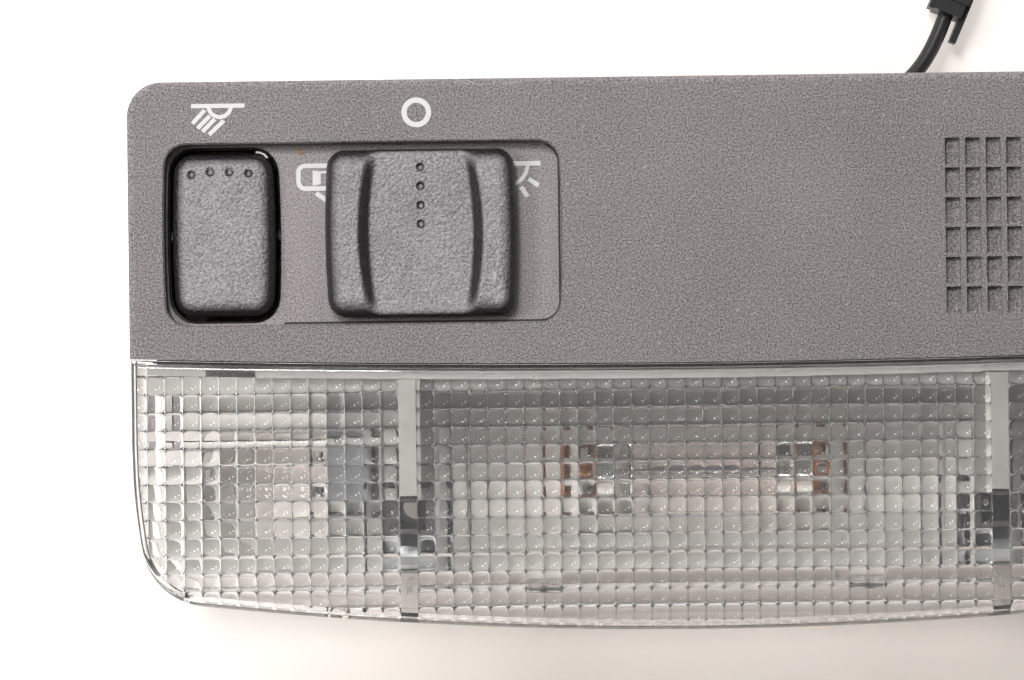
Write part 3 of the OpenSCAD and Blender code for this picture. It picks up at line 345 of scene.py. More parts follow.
lead_path = smooth_path(LEAD_ROUTE, 6)
lead_points, lead_faces = tube(lead_path, LEAD_DIAMETER / 2, 20)
lead = make_piece("lead", lead_points, lead_faces, jacket, "unit")
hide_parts("microphone_lead")
print("lead in mm:", round(path_length(lead_path) / MM, 1))

# %% [markdown]
# ## The lens
# The lens is one clear moulding. Its front is smooth, and its back is a field
# of pillow cells, each a shallow dome. The dome is a height worked out on a
# grid: over a cell whose local place u runs from -1 to 1 both ways, the height
# is the rise times one minus the mean of 0.6 u^2 + 0.4 u^6 for both ways, so
# that neighbouring domes meet in sharp valleys. Six steps per cell are enough,
# closer at the rim, because smooth shading bends the light between them.

# %% Sizes of the lens
HALF_W = 100.2
SEAM_SAG = 1.7
LOW_Y = -48.4
LOWER_EDGE_R = 770
SIDE_EDGE_R = 107
SIDE_TURN_Y = -15
LOWER_CORNER_R = 12
LENS_WALL = 1.3
SEAM_WALL = 0.5
LENS_GAP = 0.15
LENS_LOW_Z = 19
LENS_FRONT_Z = FACE_LEVEL
PLATE_Z = 34.9
CELL_RISE = 0.9
CELL_W = 3.14
CELL_H = 3.14
CELL_ROWS = 14
DOME_COLUMNS = 32
MAP_COLUMNS = 15
BAR_W = 3.05
BEVEL_W = 1.8
BEVEL_DROP = 1.5
BAR_GAP = 0.03
CELLS_TOP_Y = -3.16
PLAIN_BAND = 2.8
STRAIGHT_STEPS = 90
SIDE_STEPS = 200
CORNER_STEPS = 400
LOW_STEPS = 1200


def seam_y(x):
    """Height of the seam: a shallow parabola, lowest in the middle."""
    return -SEAM_SAG * (1 - (x / HALF_W) ** 2)


def circle_meet(first, first_r, second, second_r):
    """Right-hand crossing point of two circles."""
    apart = second - first
    distance = np.linalg.norm(apart)
    step = apart / distance
    along = (first_r ** 2 - second_r ** 2 + distance ** 2) / (2 * distance)
    off = math.sqrt(first_r ** 2 - along ** 2)
    return first + along * step + off * np.array([step[1], -step[0]])


def edge_stretch(centre, radius, start, end, count, share_start, share_end):
    """Points centre + radius * (cos a, sin a), their outward normals, and the share of the slanted
    band, which runs evenly along the stretch."""
    t = np.arange(1, count + 1) / count
    a = start + (end - start) * t
    normals = np.stack([np.cos(a), np.sin(a)], 1)
    return centre + radius * normals, normals, share_start + (share_end - share_start) * t


def lens_edge():
    """Right half of the lens edge from the seam to the middle of the lower edge."""
    side = np.array([HALF_W - SIDE_EDGE_R, SIDE_TURN_Y])
    low = np.array([0, LOW_Y + LOWER_EDGE_R])
    corner = circle_meet(side, SIDE_EDGE_R - LOWER_CORNER_R, low, LOWER_EDGE_R - LOWER_CORNER_R)
    side_a = math.atan2(*(corner - side)[::-1])
    low_a = math.atan2(*(corner - low)[::-1])
    down = np.linspace(0, SIDE_TURN_Y, STRAIGHT_STEPS)
    straight = (
        np.stack([np.full(STRAIGHT_STEPS, HALF_W), down], 1),
        np.tile([1.0, 0.0], (STRAIGHT_STEPS, 1)),
        np.zeros(STRAIGHT_STEPS),
    )
    parts = [
        straight,
        edge_stretch(side, SIDE_EDGE_R, 0, side_a, SIDE_STEPS, 0, 0),
        edge_stretch(corner, LOWER_CORNER_R, side_a, low_a, CORNER_STEPS, 0, 1),
        edge_stretch(low, LOWER_EDGE_R, low_a, -math.pi / 2, LOW_STEPS, 1, 1),
    ]
    return [np.concatenate(column) for column in zip(*parts)]


EDGE_POINTS, EDGE_NORMALS, EDGE_SHARES = lens_edge()
SEAM_STEPS = 1600


def lens_loop(side_inset, low_inset, drop):
    """Closed lens outline, drawn in by side_inset at the sides and low_inset along the lower edge,
    with the seam edge lowered by drop."""
    inset = side_inset + (low_inset - side_inset) * EDGE_SHARES
    right = EDGE_POINTS - inset[:, None] * EDGE_NORMALS
    right[:, 1] = np.minimum(right[:, 1], -drop)
    left = right * [-1, 1]
    x = np.linspace(1, -1, SEAM_STEPS + 2)[1:-1] * (HALF_W - side_inset)
    seam = np.stack([x, seam_y(x) - drop], 1)
    return np.concatenate([seam, left, right[::-1]])


# %% The field of pillow cells
CELL_SHARES = np.array([0, 0.07, 0.24, 0.5, 0.76, 0.93])
EDGE_STEPS = 12


def cell_lines(count):
    """Places of grid lines counted in cells; they lie closer at a cell's rim, where it is steep."""
    return np.append((np.arange(count)[:, None] + CELL_SHARES).ravel(), count)


def block_columns(start, count):
    return start + cell_lines(count) * CELL_W


DOME_HALF = DOME_COLUMNS * CELL_W / 2
MAP_START = DOME_HALF + BAR_W
WHOLE_MAP_COLUMNS = MAP_COLUMNS - 1
MAP_END = MAP_START + MAP_COLUMNS * CELL_W


def dome_height(place, start, count, size):
    """Drop towards a cell's rim: 0.6 u^2 + 0.4 u^6 for the local place u from -1 to 1, and whether
    the place is in the block."""
    local = (place - start) / size
    inside = (local > -1e-6) & (local < count + 1e-6)
    square = (2 * (local - np.floor(local)) - 1) ** 2
    return 0.6 * square + 0.4 * square ** 3, inside


def pillow_field():
    """Underside of the plate on a grid: x from the columns, y from the rows held inside the outline,
    and z lowered by the rise times one minus the mean of both drops within a cell. Two rows at plate
    level come first; they are the plain band along the seam."""
    edge_x = HALF_W - LENS_WALL
    last_column = MAP_START + WHOLE_MAP_COLUMNS * CELL_W
    right = np.concatenate([
        block_columns(MAP_START, WHOLE_MAP_COLUMNS),
        np.linspace(last_column, edge_x, EDGE_STEPS)[1:],
    ])
    bar_edges = np.array([DOME_HALF + BAR_GAP, MAP_START - BAR_GAP])
    x = np.concatenate([
        -right[::-1], -bar_edges[::-1], block_columns(-DOME_HALF, DOME_COLUMNS), bar_edges, right])
    cells_low_y = CELLS_TOP_Y - CELL_ROWS * CELL_H
    rows = CELLS_TOP_Y - cell_lines(CELL_ROWS) * CELL_H
    inner = lens_loop(LENS_WALL, BEVEL_W, SEAM_WALL + LENS_GAP)
    right_half = inner[-len(EDGE_POINTS):]
    order = np.argsort(right_half[:, 0], kind="stable")
    low = np.interp(np.abs(x), right_half[order, 0], right_half[order, 1])
    low = np.where(np.abs(x) > edge_x - 1e-6, SIDE_TURN_Y, low)
    seam = seam_y(x)
    y = np.vstack([
        seam - SEAM_WALL - LENS_GAP,
        seam - PLAIN_BAND,
        np.clip(rows[:, None], low, seam - PLAIN_BAND - 0.02),
    ])
    x = np.broadcast_to(x, y.shape)
    column_square = np.ones_like(y)
    in_block = np.zeros_like(y, bool)
    for start, count in ((-DOME_HALF, DOME_COLUMNS), (MAP_START, MAP_COLUMNS), (-MAP_END, MAP_COLUMNS)):
        square, inside = dome_height(x, start, count, CELL_W)
        column_square = np.where(inside, square, column_square)
        in_block |= inside
    row_square, _ = dome_height(y, cells_low_y, CELL_ROWS, CELL_H)
    rise = CELL_RISE * (1 - (column_square + row_square) / 2)
    rise[:2] = 0
    z = PLATE_Z - np.where(in_block, rise, 0)
    return np.stack([x, y, z], -1), inner


def grid_rim(grid):
    """Point numbers along the edge of a grid of point numbers, going once round."""
    return np.concatenate([grid[0], grid[1:, -1], grid[-1, -2::-1], grid[-2:0:-1, 0]])


def weld_grid(points):
    """Grid points with equal places made one point, and the grid's faces without the collapsed ones."""
    rows, columns = points.shape[:2]
    flat = points.reshape(-1, 3)
    _, first, same = np.unique(np.round(flat[:, :2], 5), axis=0, return_index=True, return_inverse=True)
    same = same.reshape(-1)
    quads = same[grid_quads(rows, columns)]
    whole = (quads != np.roll(quads, 1, axis=1)).all(1)
    faces = quads[whole].tolist()
    for k in range(4):
        turned = np.roll(quads, -k, axis=1)
        one_side = (turned[:, 0] == turned[:, 1]) & (turned[:, 1] != turned[:, 2])
        one_side &= (turned[:, 2] != turned[:, 3]) & (turned[:, 3] != turned[:, 0])
        faces += turned[one_side][:, 1:].tolist()
    rim = grid_rim(same.reshape(rows, columns))
    rim = rim[rim != np.roll(rim, 1)]
    return flat[first], faces, rim


field, inner_edge = pillow_field()
field_points, field_faces, field_rim = weld_grid(field)
print("cells:", CELL_ROWS * (DOME_COLUMNS + 2 * MAP_COLUMNS), "field faces:", len(field_faces))

# %% [markdown]
# ### The rim round the cells
# From the field's edge the same outline runs down the inside, under the rim
# and up the outside, each time drawn in by another amount. That is a profile
# carried round the outline. A rounded top edge catches a thin line of light.

# %% Rim, hooks and ribs of the lens
def rounded_edge(side0, low0, z0, side1, low1, z1, steps=4):
    """Quarter-round between two places of the profile."""
    a = np.linspace(0, math.pi / 2, steps)
    turn = 1 - np.cos(a)
    climb = np.sin(a)
    return [
        (side0 + (side1 - side0) * t, low0 + (low1 - low0) * t, z0 + (z1 - z0) * c)
        for t, c in zip(turn, climb)
    ]


# Each row: inset at the sides, inset along the lower edge, drop of the seam edge, height
LENS_PROFILE = [
    (LENS_WALL, LENS_WALL, SEAM_WALL, LENS_FRONT_Z - BEVEL_DROP - 1.1),
    (LENS_WALL, LENS_WALL, SEAM_WALL, LENS_LOW_Z),
    (0.15, 0.15, 0.05, LENS_LOW_Z),
    (0, 0, 0, LENS_LOW_Z + 0.3),
    (0, 0, 0, LENS_FRONT_Z - BEVEL_DROP - 0.1),
    (0, 0.12, 0, LENS_FRONT_Z - BEVEL_DROP + 0.1),
]
LENS_PROFILE += [
    (side, low, side * 0.6, z)
    for side, low, z in rounded_edge(0.0, BEVEL_W - 0.8, LENS_FRONT_Z - 0.45, 0.45, BEVEL_W, LENS_FRONT_Z)
]
# The fine groove beside the seam: how far from the rounded edge, and how deep
GROOVE = [(0.62, 0.0), (0.74, 0.16), (0.9, 0.2), (1.06, 0.16), (1.18, 0.0)]
LENS_PROFILE += [
    (0.45 + away, BEVEL_W + away, 0.27 + away, LENS_FRONT_Z - depth)
    for away, depth in GROOVE
]


def slab(corners_low, corners_high):
    """Block between two levels, each a list of four points going round."""
    faces = [[3, 2, 1, 0], [4, 5, 6, 7], [0, 1, 5, 4], [1, 2, 6, 5], [2, 3, 7, 6], [3, 0, 4, 7]]
    return np.array(corners_low + corners_high, float), faces


def rectangle(x0, x1, y0, y1, z):
    return [(x0, y0, z), (x1, y0, z), (x1, y1, z), (x0, y1, z)]


def joined(shapes):
    """Several shapes as one list of points and faces."""
    points, faces = np.zeros((0, 3)), []
    for shape_points, shape_faces in shapes:
        faces += [[len(points) + i for i in face] for face in shape_faces]
        points = np.concatenate([points, shape_points])
    return points, faces


HOOK_PLACES = (-82.8, -28, 28, 82.8)
HOOK_HALF_W = 4.1
HOOK_LOW_Z = LENS_LOW_Z + 4
HOOK_H = 3
RIB_PLACES = ((-51.765, 0.5), (51.765, 0.5), (-28, 3), (28, 3))
RIB_DEPTH = 15


def lens_hook(x):
    """Hook that reaches over the seam wall, tapering towards the roof side."""
    y = seam_y(x) - LENS_GAP
    left = x - HOOK_HALF_W
    right = x + HOOK_HALF_W
    return slab(rectangle(left, right, y - 0.4, y + 1.35, HOOK_LOW_Z),
                rectangle(left, right, y - 0.4, y + 0.02, HOOK_LOW_Z + HOOK_H))


def lens_rib(x, half):
    """Rib that stiffens the lower rim."""
    return slab(rectangle(x - half, x + half, -40.9, -39.7, PLATE_Z - RIB_DEPTH),
                rectangle(x - half, x + half, -41.7, -39.7, PLATE_Z - 0.1))


def lens_mesh():
    """Points and faces of the lens: field, profile round its rim, and the flat front. The groove
    of the profile is cut along the seam only."""
    rim_xy = field_points[field_rim, :2]
    gaps = ((rim_xy[:, None] - inner_edge[None]) ** 2).sum(-1)
    nearest = gaps.argmin(1)
    count = len(field_rim)
    loops = [
        np.column_stack([lens_loop(side, low, drop + LENS_GAP)[nearest], np.full(count, z)])
        for side, low, drop, z in LENS_PROFILE
    ]
    for loop in loops[-len(GROOVE):]:
        loop[nearest >= SEAM_STEPS, 2] = LENS_FRONT_Z
    points = np.concatenate([field_points] + loops)
    start = len(field_points)
    levels = [field_rim] + [start + k * count + np.arange(count) for k in range(len(loops))]
    faces = list(field_faces)
    for lower, upper in zip(levels, levels[1:]):
        sides = np.stack([lower, np.roll(lower, -1), np.roll(upper, -1), upper], 1)
        faces += sides.tolist()
    faces.append(levels[-1].tolist())
    details = [lens_hook(x) for x in HOOK_PLACES] + [lens_rib(x, half) for x, half in RIB_PLACES]
    points, faces = joined([(points, faces)] + details)
    return points * MM, faces


# %% [markdown]
# ### Clear plastic that lets the lamps through
# Light from a lamp can't find its way through bending glass in a path tracer,
# so the lens is swapped for plain see-through film on shadow rays only. What
# the camera sees still bends through every pillow.

# %% Clear finishes
def clear_finish(name, tint, index, roughness, film, haze=0.0):
    """Glass-like shader for sight with a share of milky haze, and a tinted film for lamp rays."""
    finish = Finish(name)
    waves = finish.noise(6 * MM, 2)
    glass = finish.node("ShaderNodeBsdfPrincipled", None, {
        "Base Color": tint,
        "Roughness": roughness + 0.04 * waves,
        "Transmission Weight": 1 - haze,
        "IOR": index,
    })
    see_through = finish.node("ShaderNodeBsdfTransparent", None, {"Color": film})
    ray = finish.node("ShaderNodeLightPath")
    mix = finish.node("ShaderNodeMixShader", None, {0: ray.outputs["Is Shadow Ray"]})
    finish.tree.links.new(glass.outputs[0], mix.inputs[1])
    finish.tree.links.new(see_through.outputs[0], mix.inputs[2])
    finish.tree.links.new(mix.outputs[0], finish.output.inputs["Surface"])
    return finish.material


lens_clear = clear_finish(
    "clear_lens", tint=(0.95, 0.948, 0.942, 1), index=1.56, roughness=0.02,
    film=(0.94, 0.937, 0.93, 1), haze=0.03,
)
lens_points, lens_faces = lens_mesh()
lens = make_piece("clear_lens", lens_points, lens_faces, lens_clear, "unit",
                  crease=math.radians(24))
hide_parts("lens")

# %% [markdown]
# ## Finishes of the moulded and metal parts
# Each finish mixes two near colours, so nothing is one flat tone, and takes
# its grain from noise at the size that the real surface has: about 0.3 mm on
# the face, and pebbles of 0.6 mm on the knobs.

# %% Face plastic and knob plastic
def face_plastic():
    """Dark grey with a spark-eroded grain, paler at and below the level of the recess floors, and with
    painted shade: dark on the walls of the recesses and round the screws."""
    finish = Finish("face_plastic")
    grain = finish.noise(0.3 * MM, 2, 0.7)
    patches = finish.noise(22 * MM, 3, 0.55)
    specks = finish.ramp(finish.noise(0.7 * MM, 1), 0.7, 0.78)
    tone = finish.ramp(grain, 0.36, 0.64)
    across, along, height = finish.axes()
    over_floor = height - RECESS_FLOOR * MM
    low_ground = finish.ramp(over_floor, 1.5 * MM, 0.5 * MM)
    # Painted shade on the walls, which lie between the recess floor and the face, away from the outer
    # skirt and the grille
    walls = finish.ramp(over_floor, 0.1 * MM, 0.4 * MM) * finish.ramp(over_floor, 2.9 * MM, 2.3 * MM)
    walls = walls * finish.ramp(across.absolute(), (SKIRT_X + 1) * MM, SKIRT_X * MM)
    walls = walls * finish.ramp(along, (SKIRT_Y + 1) * MM, SKIRT_Y * MM)
    off_grille = (across - GRILLE_X * MM).absolute()
    grille = finish.ramp(off_grille, (GRILLE_HALF_W + 1) * MM, GRILLE_HALF_W * MM)
    walls = walls * (1 - grille * finish.ramp(along, 2 * MM, 3 * MM))
    # Painted shade inside the deep screw wells, dark round the screws
    well_shade = finish.ramp(finish.from_screws(), (WELL_R + 0.5) * MM, WELL_R * MM)
    face = finish.blend(tone * 0.8 + patches * 0.2, srgb(76, 71, 71), srgb(192, 184, 184))
    floor = finish.blend(tone * 0.8 + patches * 0.2, srgb(114, 107, 107), srgb(208, 199, 198))
    colour = finish.blend(low_ground, face, floor)
    colour = finish.blend(specks * 0.5, colour, srgb(214, 209, 207))
    # The dark grey over the walls and the wells is painted shade, not the plastic's own colour
    finish.principled({
        "Base Color": finish.blend(walls + well_shade, colour, srgb(54, 50, 51)),
        "Roughness": 0.4 + 0.12 * patches,
        "Normal": finish.bump(grain, 0.2 * MM),
    })
    return finish.material


SCUFF_X = -35.4
SCUFF_Y = 12.5


def knob_plastic():
    """Slightly glossier grey with a fine leather grain and painted shade on the steep flanks, and pale
    scuffs on the right rib of the slide knob."""
    finish = Finish("knob_plastic")
    pebbles = finish.pebbles(0.6 * MM)
    fine = finish.noise(0.32 * MM, 2, 0.6)
    patches = finish.noise(8 * MM, 3)
    height = pebbles * -0.7 + fine * 0.7
    tone = finish.ramp(fine, 0.34, 0.66)
    colour = finish.blend(patches * 0.4 + tone * 0.6, srgb(112, 107, 109), srgb(212, 207, 210))
    across, along, _ = finish.axes()
    off_x = across - SCUFF_X * MM
    off_y = along - SCUFF_Y * MM
    rubbed = finish.ramp(off_x * off_x, (1.6 * MM) ** 2, (0.6 * MM) ** 2)
    rubbed = rubbed * finish.ramp(off_y * off_y, (6 * MM) ** 2, (3 * MM) ** 2)
    streaks = finish.ramp(finish.noise(0.9 * MM, 2, 0.6, finish.stretched((1, 0.5, 1))), 0.5, 0.62)
    colour = finish.blend(rubbed * streaks * 0.75, colour, srgb(226, 222, 224))
    # Painted shade: the steep flanks, where facing_up is low, are dark, though the plastic is one grey
    finish.principled({
        "Base Color": finish.blend(finish.ramp(finish.facing_up(), 0.68, 0.985), srgb(40, 37, 39), colour),
        "Roughness": 0.23 + 0.1 * patches,
        "Normal": finish.bump(height, 0.5 * MM),
    })
    return finish.material


def pale_plastic():
    """Off-white plastic with painted shade: dark in the screw sleeves, deep down the wells, and on all
    that lies over about 20 mm high on the switch side, which shows in the gaps round the rockers."""
    finish = Finish("pale_plastic")
    grain = finish.noise(0.8 * MM, 2)
    patches = finish.noise(9 * MM, 4, 0.6)
    _, along, height = finish.axes()
    # Painted shade in the screw sleeves, which lie deep down the wells
    sleeve = finish.ramp(finish.from_screws(), (SLEEVE_R + 0.3) * MM, SLEEVE_R * MM)
    # Painted shade on the switch side above the carrier, seen in the gaps round the rockers
    shade_under_switches = finish.ramp(along, 1 * MM, 3 * MM) * finish.ramp(height, 20 * MM, 24 * MM)
    pale = finish.blend(patches * 0.7 + grain * 0.3, srgb(224, 218, 210), srgb(242, 238, 231))
    finish.principled({
        "Base Color": finish.blend(sleeve + shade_under_switches, pale, srgb(38, 36, 36)),
        "Roughness": 0.44 + 0.12 * patches,
        "Normal": finish.bump(grain, 0.02 * MM),
    })
    return finish.material


# %% [markdown]
# ## The switch caps
# A rocker and the slide knob are soft moulded shapes. Each is a height worked
# out on a grid that fills a barrel-sided outline: near the rim the height
# falls along a quarter circle, and the knob's two ribs are a smooth step. The
# four dimples near the upper end are small round dents.

# %% Grids that fill a barrel-sided outline
ROCKER_X = 83.5
KNOB_X = -48.95
GRID_STEP = 0.2


def lines(half, rim):
    """Grid lines from -half to half, crowded over the rounded rim."""
    inset = rim * (1 - np.cos(np.linspace(0, math.pi / 2, 9)))
    middle = np.linspace(-half + rim, half - rim, int(2 * (half - rim) / GRID_STEP) + 1)
    return np.concatenate([-half + inset[:-1], middle, (half - inset[:-1])[::-1]])


def barrel_grid(w, h, corner, bulge, rim):
    """x, y and distance to the outline. The width at y is w * (1 - bulge * (2y/h)^2), with corner
    arcs taken off at both ends."""
    x, y = np.meshgrid(lines(w / 2, rim), lines(h / 2, rim))
    beyond = np.maximum(np.abs(y) - (h / 2 - corner), 0)
    cut = corner - np.sqrt(np.maximum(corner ** 2 - beyond ** 2, 0))
    share = 1 - bulge * (2 * y / h) ** 2
    wide = x * (w / 2 - cut) / (w / 2)
    qx = np.abs(wide) - (w / 2 - corner)
    qy = np.abs(y) - (h / 2 - corner)
    outside = np.hypot(np.maximum(qx, 0), np.maximum(qy, 0))
    inset = corner - outside - np.minimum(np.maximum(qx, qy), 0)
    return wide * share, y, np.maximum(inset, 0)


def rolled(inset, radius):
    """Drop of a quarter-round rim at a distance from the outline."""
    t = np.clip(1 - inset / radius, 0, 1)
    return radius * (1 - np.sqrt(1 - t ** 2))


def dimples(x, y, places, radius=0.7, depth=0.6):
    dent = np.zeros_like(x)
    for px, py in places:
        away = ((x - px) ** 2 + (y - py) ** 2) / radius ** 2
        dent = np.maximum(dent, depth * np.sqrt(np.maximum(1 - away, 0)))
    return dent


def cap_shell(x, y, z, low_z):
    """Closed solid under a height grid: the rim runs straight down to low_z."""
    rows, columns = x.shape
    top = np.stack([x, y, z], -1).reshape(-1, 3)
    grid = np.arange(rows * columns).reshape(rows, columns)
    rim = grid_rim(grid)
    below = top[rim] * [1, 1, 0] + [0, 0, low_z]
    count = len(rim)
    low = len(top) + np.arange(count)
    faces = grid_quads(rows, columns).tolist()
    faces += np.stack([np.roll(rim, -1), rim, low, np.roll(low, -1)], 1).tolist()
    faces.append(low[::-1].tolist())
    return np.concatenate([top, below]), faces


def mark_slopes(piece):
    """Write the attribute facing_up: the normal's part along +Z, 1 on level ground and 0 on a wall."""
    mesh = piece.data
    normals = np.empty(3 * len(mesh.vertices), np.float32)
    mesh.vertex_normals.foreach_get("vector", normals)
    mesh.attributes.new("facing_up", "FLOAT", "POINT").data.foreach_set("value", normals[2::3].copy())


# %% Rockers
ROCKER_W = 18
ROCKER_H = 28.4
ROCKER_TOP_Z = 36.7
ROCKER_LOW_Z = 25.6
ROCKER_RIM = 2.8
PIVOT_Z = 28.1
PIVOT_R = 1.5


def rocker_shape():
    x, y, inset = barrel_grid(ROCKER_W, ROCKER_H, corner=3.4, bulge=0.05, rim=ROCKER_RIM)
    crown = 0.5 * (2 * x / ROCKER_W) ** 4 + 0.6 * (2 * y / ROCKER_H) ** 4
    places = [(-5.35, 10.55), (-2.08, 10.95), (1.27, 10.94), (4.62, 10.69)]
    z = ROCKER_TOP_Z - rolled(inset, ROCKER_RIM) - crown - dimples(x, y, places)
    pivots = []
    for side in (-1, 1):
        path = np.array([(side * a, 0, PIVOT_Z) for a in (8, 10, 12)], float)
        pivots.append(tube(path, PIVOT_R, 24))
    return joined([cap_shell(x, y, z, ROCKER_LOW_Z)] + pivots)


knob_finish = knob_plastic()
rocker_points, rocker_faces = rocker_shape()
for side, word in ((-1, "left"), (1, "right")):
    place = np.array([side * ROCKER_X, RECESS_MIDDLE_Y, 0])
    cap = make_piece("rocker_cap_" + word, (rocker_points + place) * MM, rocker_faces, knob_finish,
                     word + "_rocker", math.radians(40))
    mark_slopes(cap)
    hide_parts("map_rocker_" + word)

# %% Slide knob
KNOB_L = 33.5
KNOB_H = 29.2
KNOB_LOW_Z = 33.3
KNOB_BULGE = 0.035
SADDLE_RISE = 3.9
SADDLE_DIP = 0.7
RIB_RISE = 5.8
FOOT_LOW_Z = 26.3
FOOT_HIGH_Z = 28.8


def smooth_step(value, low, high):
    t = np.clip((value - low) / (high - low), 0, 1)
    return t * t * (3 - 2 * t)


def knob_shape():
    """The saddle is hollow along y; two ribs stand on it, bowed outwards in the middle."""
    x, y, inset = barrel_grid(KNOB_L, KNOB_H, corner=3.0, bulge=KNOB_BULGE, rim=1.4)
    along = (2 * y / KNOB_H) ** 2
    from_side = KNOB_L / 2 * (1 - KNOB_BULGE * along) - np.abs(x)
    rib = 1 - smooth_step(from_side, 5.5 + 1.1 * along, 8.0 + 1.3 * along)
    saddle = SADDLE_RISE - SADDLE_DIP * (1 - along) - 0.1 * (2 * x / KNOB_L) ** 2
    crest = RIB_RISE - 0.5 * along
    rim = rolled(inset, 1.3) * (1 - rib) + rolled(inset, 3.6) * rib
    places = [(0, KNOB_H / 2 - 3.2 - 3.3 * k) for k in range(4)]
    dent = dimples(x, y, places)
    z = RECESS_FLOOR + saddle + (crest - saddle) * rib - rim - dent
    stem = slab(rectangle(-2, 2, -3, 3, FOOT_LOW_Z), rectangle(-2, 2, -3, 3, KNOB_LOW_Z + 0.5))
    foot = slab(rectangle(-10, 10, -4, 4, FOOT_LOW_Z), rectangle(-10, 10, -4, 4, FOOT_HIGH_Z))
    return joined([cap_shell(x, y, z, KNOB_LOW_Z), stem, foot])


knob_points, knob_faces = knob_shape()
knob = make_piece("slide_cap", (knob_points + [KNOB_X, RECESS_MIDDLE_Y, 0]) * MM, knob_faces, knob_finish,
                  "slider", math.radians(40))
mark_slopes(knob)
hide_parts("slide_knob")

FINISHES = {
    "housing_plastic": face_plastic(),
    "knob_plastic": knob_finish,
}

# %% Metals and the other plastics
BARE_SLOPE = 0.23


def reflector_finish():
    """Satin silver coating; the corner towards the left rocker is drawn as bare pale plastic."""
    finish = Finish("satin_silver")
    clouds = finish.noise(7 * MM, 3)
    across, along, _ = finish.axes()
    bare = finish.ramp(along - across * BARE_SLOPE, 0.2 * MM, 1.4 * MM)
    bare = bare * finish.ramp(across, -65.5 * MM, -67 * MM)
    silver = finish.blend(clouds, srgb(150, 147, 143), srgb(180, 176, 171))
    finish.principled({
        "Base Color": finish.blend(bare, silver, srgb(220, 213, 208)),
        "Roughness": 0.5 + 0.1 * clouds,
        "Metallic": 0.65 - 0.65 * bare,
        "Normal": finish.bump(clouds, 0.02 * MM),
    })
    return finish.material


def metal_finish(name, dark, light, roughness, brushed=None):
    """Metal in two near tones, with fine lines along the brushed axis if one is given."""
    finish = Finish(name)
    stretch = [1.0, 1.0, 1.0]
    if brushed is not None:
        stretch[brushed] = 0.04
    scratches = finish.noise(0.25 * MM, 3, 0.6, finish.stretched(stretch))
    stains = finish.noise(5 * MM, 3)
    finish.principled({
        "Base Color": finish.blend(scratches * 0.5 + stains * 0.5, dark, light),
        "Roughness": roughness - GLOSS_SPREAD / 2 + GLOSS_SPREAD * scratches,
        "Metallic": 1.0,
        "Normal": finish.bump(scratches, 0.012 * MM),
    })
    return finish.material


FINISHES.update({
    "reflector_silver": reflector_finish(),
    "carrier_white": pale_plastic(),
    "black_plastic": plain_finish(
        "black_plastic", srgb(34, 33, 33), srgb(48, 46, 46), 0.45, 0.6 * MM, 0.03 * MM),
    "black_rubber": plain_finish(
        "black_rubber", srgb(30, 30, 30), srgb(42, 41, 41), 0.62, 0.5 * MM, 0.03 * MM),
    "brass": metal_finish("stamped_brass", srgb(190, 158, 92), srgb(216, 186, 120), 0.3, 0),
    "copper": metal_finish("stamped_copper", srgb(196, 128, 88), srgb(222, 156, 112), 0.28, 2),
    "spring_steel": metal_finish("rolled_steel", srgb(172, 173, 174), srgb(204, 205, 206), 0.3, 0),
    "screw_steel": metal_finish("zinc_steel", srgb(186, 187, 190), srgb(208, 208, 206), 0.34),
    "capsule_metal": metal_finish("satin_aluminium", srgb(190, 190, 190), srgb(212, 212, 212), 0.36),
    "bulb_cap": metal_finish("nickel_plate", srgb(214, 212, 206), srgb(236, 234, 228), 0.16),
    "filament": metal_finish("tungsten", srgb(120, 120, 122), srgb(150, 150, 152), 0.4),
    "bulb_glass": clear_finish("bulb_glass", (0.98, 0.94, 0.93, 1), 1.5, 0.0, (0.95, 0.93, 0.92, 1)),
    "holder_grey": plain_finish(
        "holder_plastic", srgb(92, 92, 94), srgb(112, 112, 114), 0.5, 0.7 * MM, 0.02 * MM),
    "lead_jacket": jacket,
    "lens_clear": lens_clear,
})

for entry in frame["record"]["materials"]:
    print(entry["slot"], "->", FINISHES[entry["slot"]].name)
for name, part in nodes.items():
    slots = [material.name.split(".")[0] for material in part.data.materials]
    for place, slot in enumerate(slots):
        part.data.materials[place] = FINISHES.get(slot, FINISHES["black_plastic"])
    print(name, slots)

# %% Lip of the reflector under the plain band
# It shows as a pale stripe along the seam, left out at the two outer hooks.
def lip_step(start, end, low, high, top_z):
    """Strip along the seam in 16 short lengths, between two distances from the seam."""
    ends = np.linspace(start, end, 17)
    return [
        slab(rectangle(x0, x1, seam_y(x1) - high, seam_y(x1) - low, top_z - 1),
             rectangle(x0, x1, seam_y(x1) - high, seam_y(x1) - low, top_z))
        for x0, x1 in zip(ends[:-1], ends[1:])
    ]


LIP_END = 97.4
LIP_STRETCHES = [(-LIP_END, -87.2), (-78.4, 78.4), (87.2, LIP_END)]
# Each step: distance from the seam where it begins and ends, and its height
UPPER_STEP = (0.85, 2.75, 32.6)
LOWER_STEP = (2.75, 5.6, 30.6)
lip_shapes = [shape for stretch in LIP_STRETCHES for shape in lip_step(*stretch, *UPPER_STEP)]
lip = joined(lip_shapes + lip_step(-LIP_END, LIP_END, *LOWER_STEP))
lip_silver = plain_finish(
    "silver_lip", srgb(164, 161, 157), srgb(186, 182, 177), 0.5, 0.8 * MM, 0.01 * MM
)
make_piece("reflector_lip", lip[0] * MM, lip[1], lip_silver, "unit")

# %% [markdown]
# ## Printed symbols
# The white marks are print: a film a few hundredths of a millimetre thick on
# the plastic. Each mark is a stroke, a ring or a filled shape, given by its
# outline and raised by that film.

# %% Symbols on the face and in the recess
PRINT_THICKNESS = 0.04
PRINT_ROOT = 0.02
STACK_STEP = 0.004


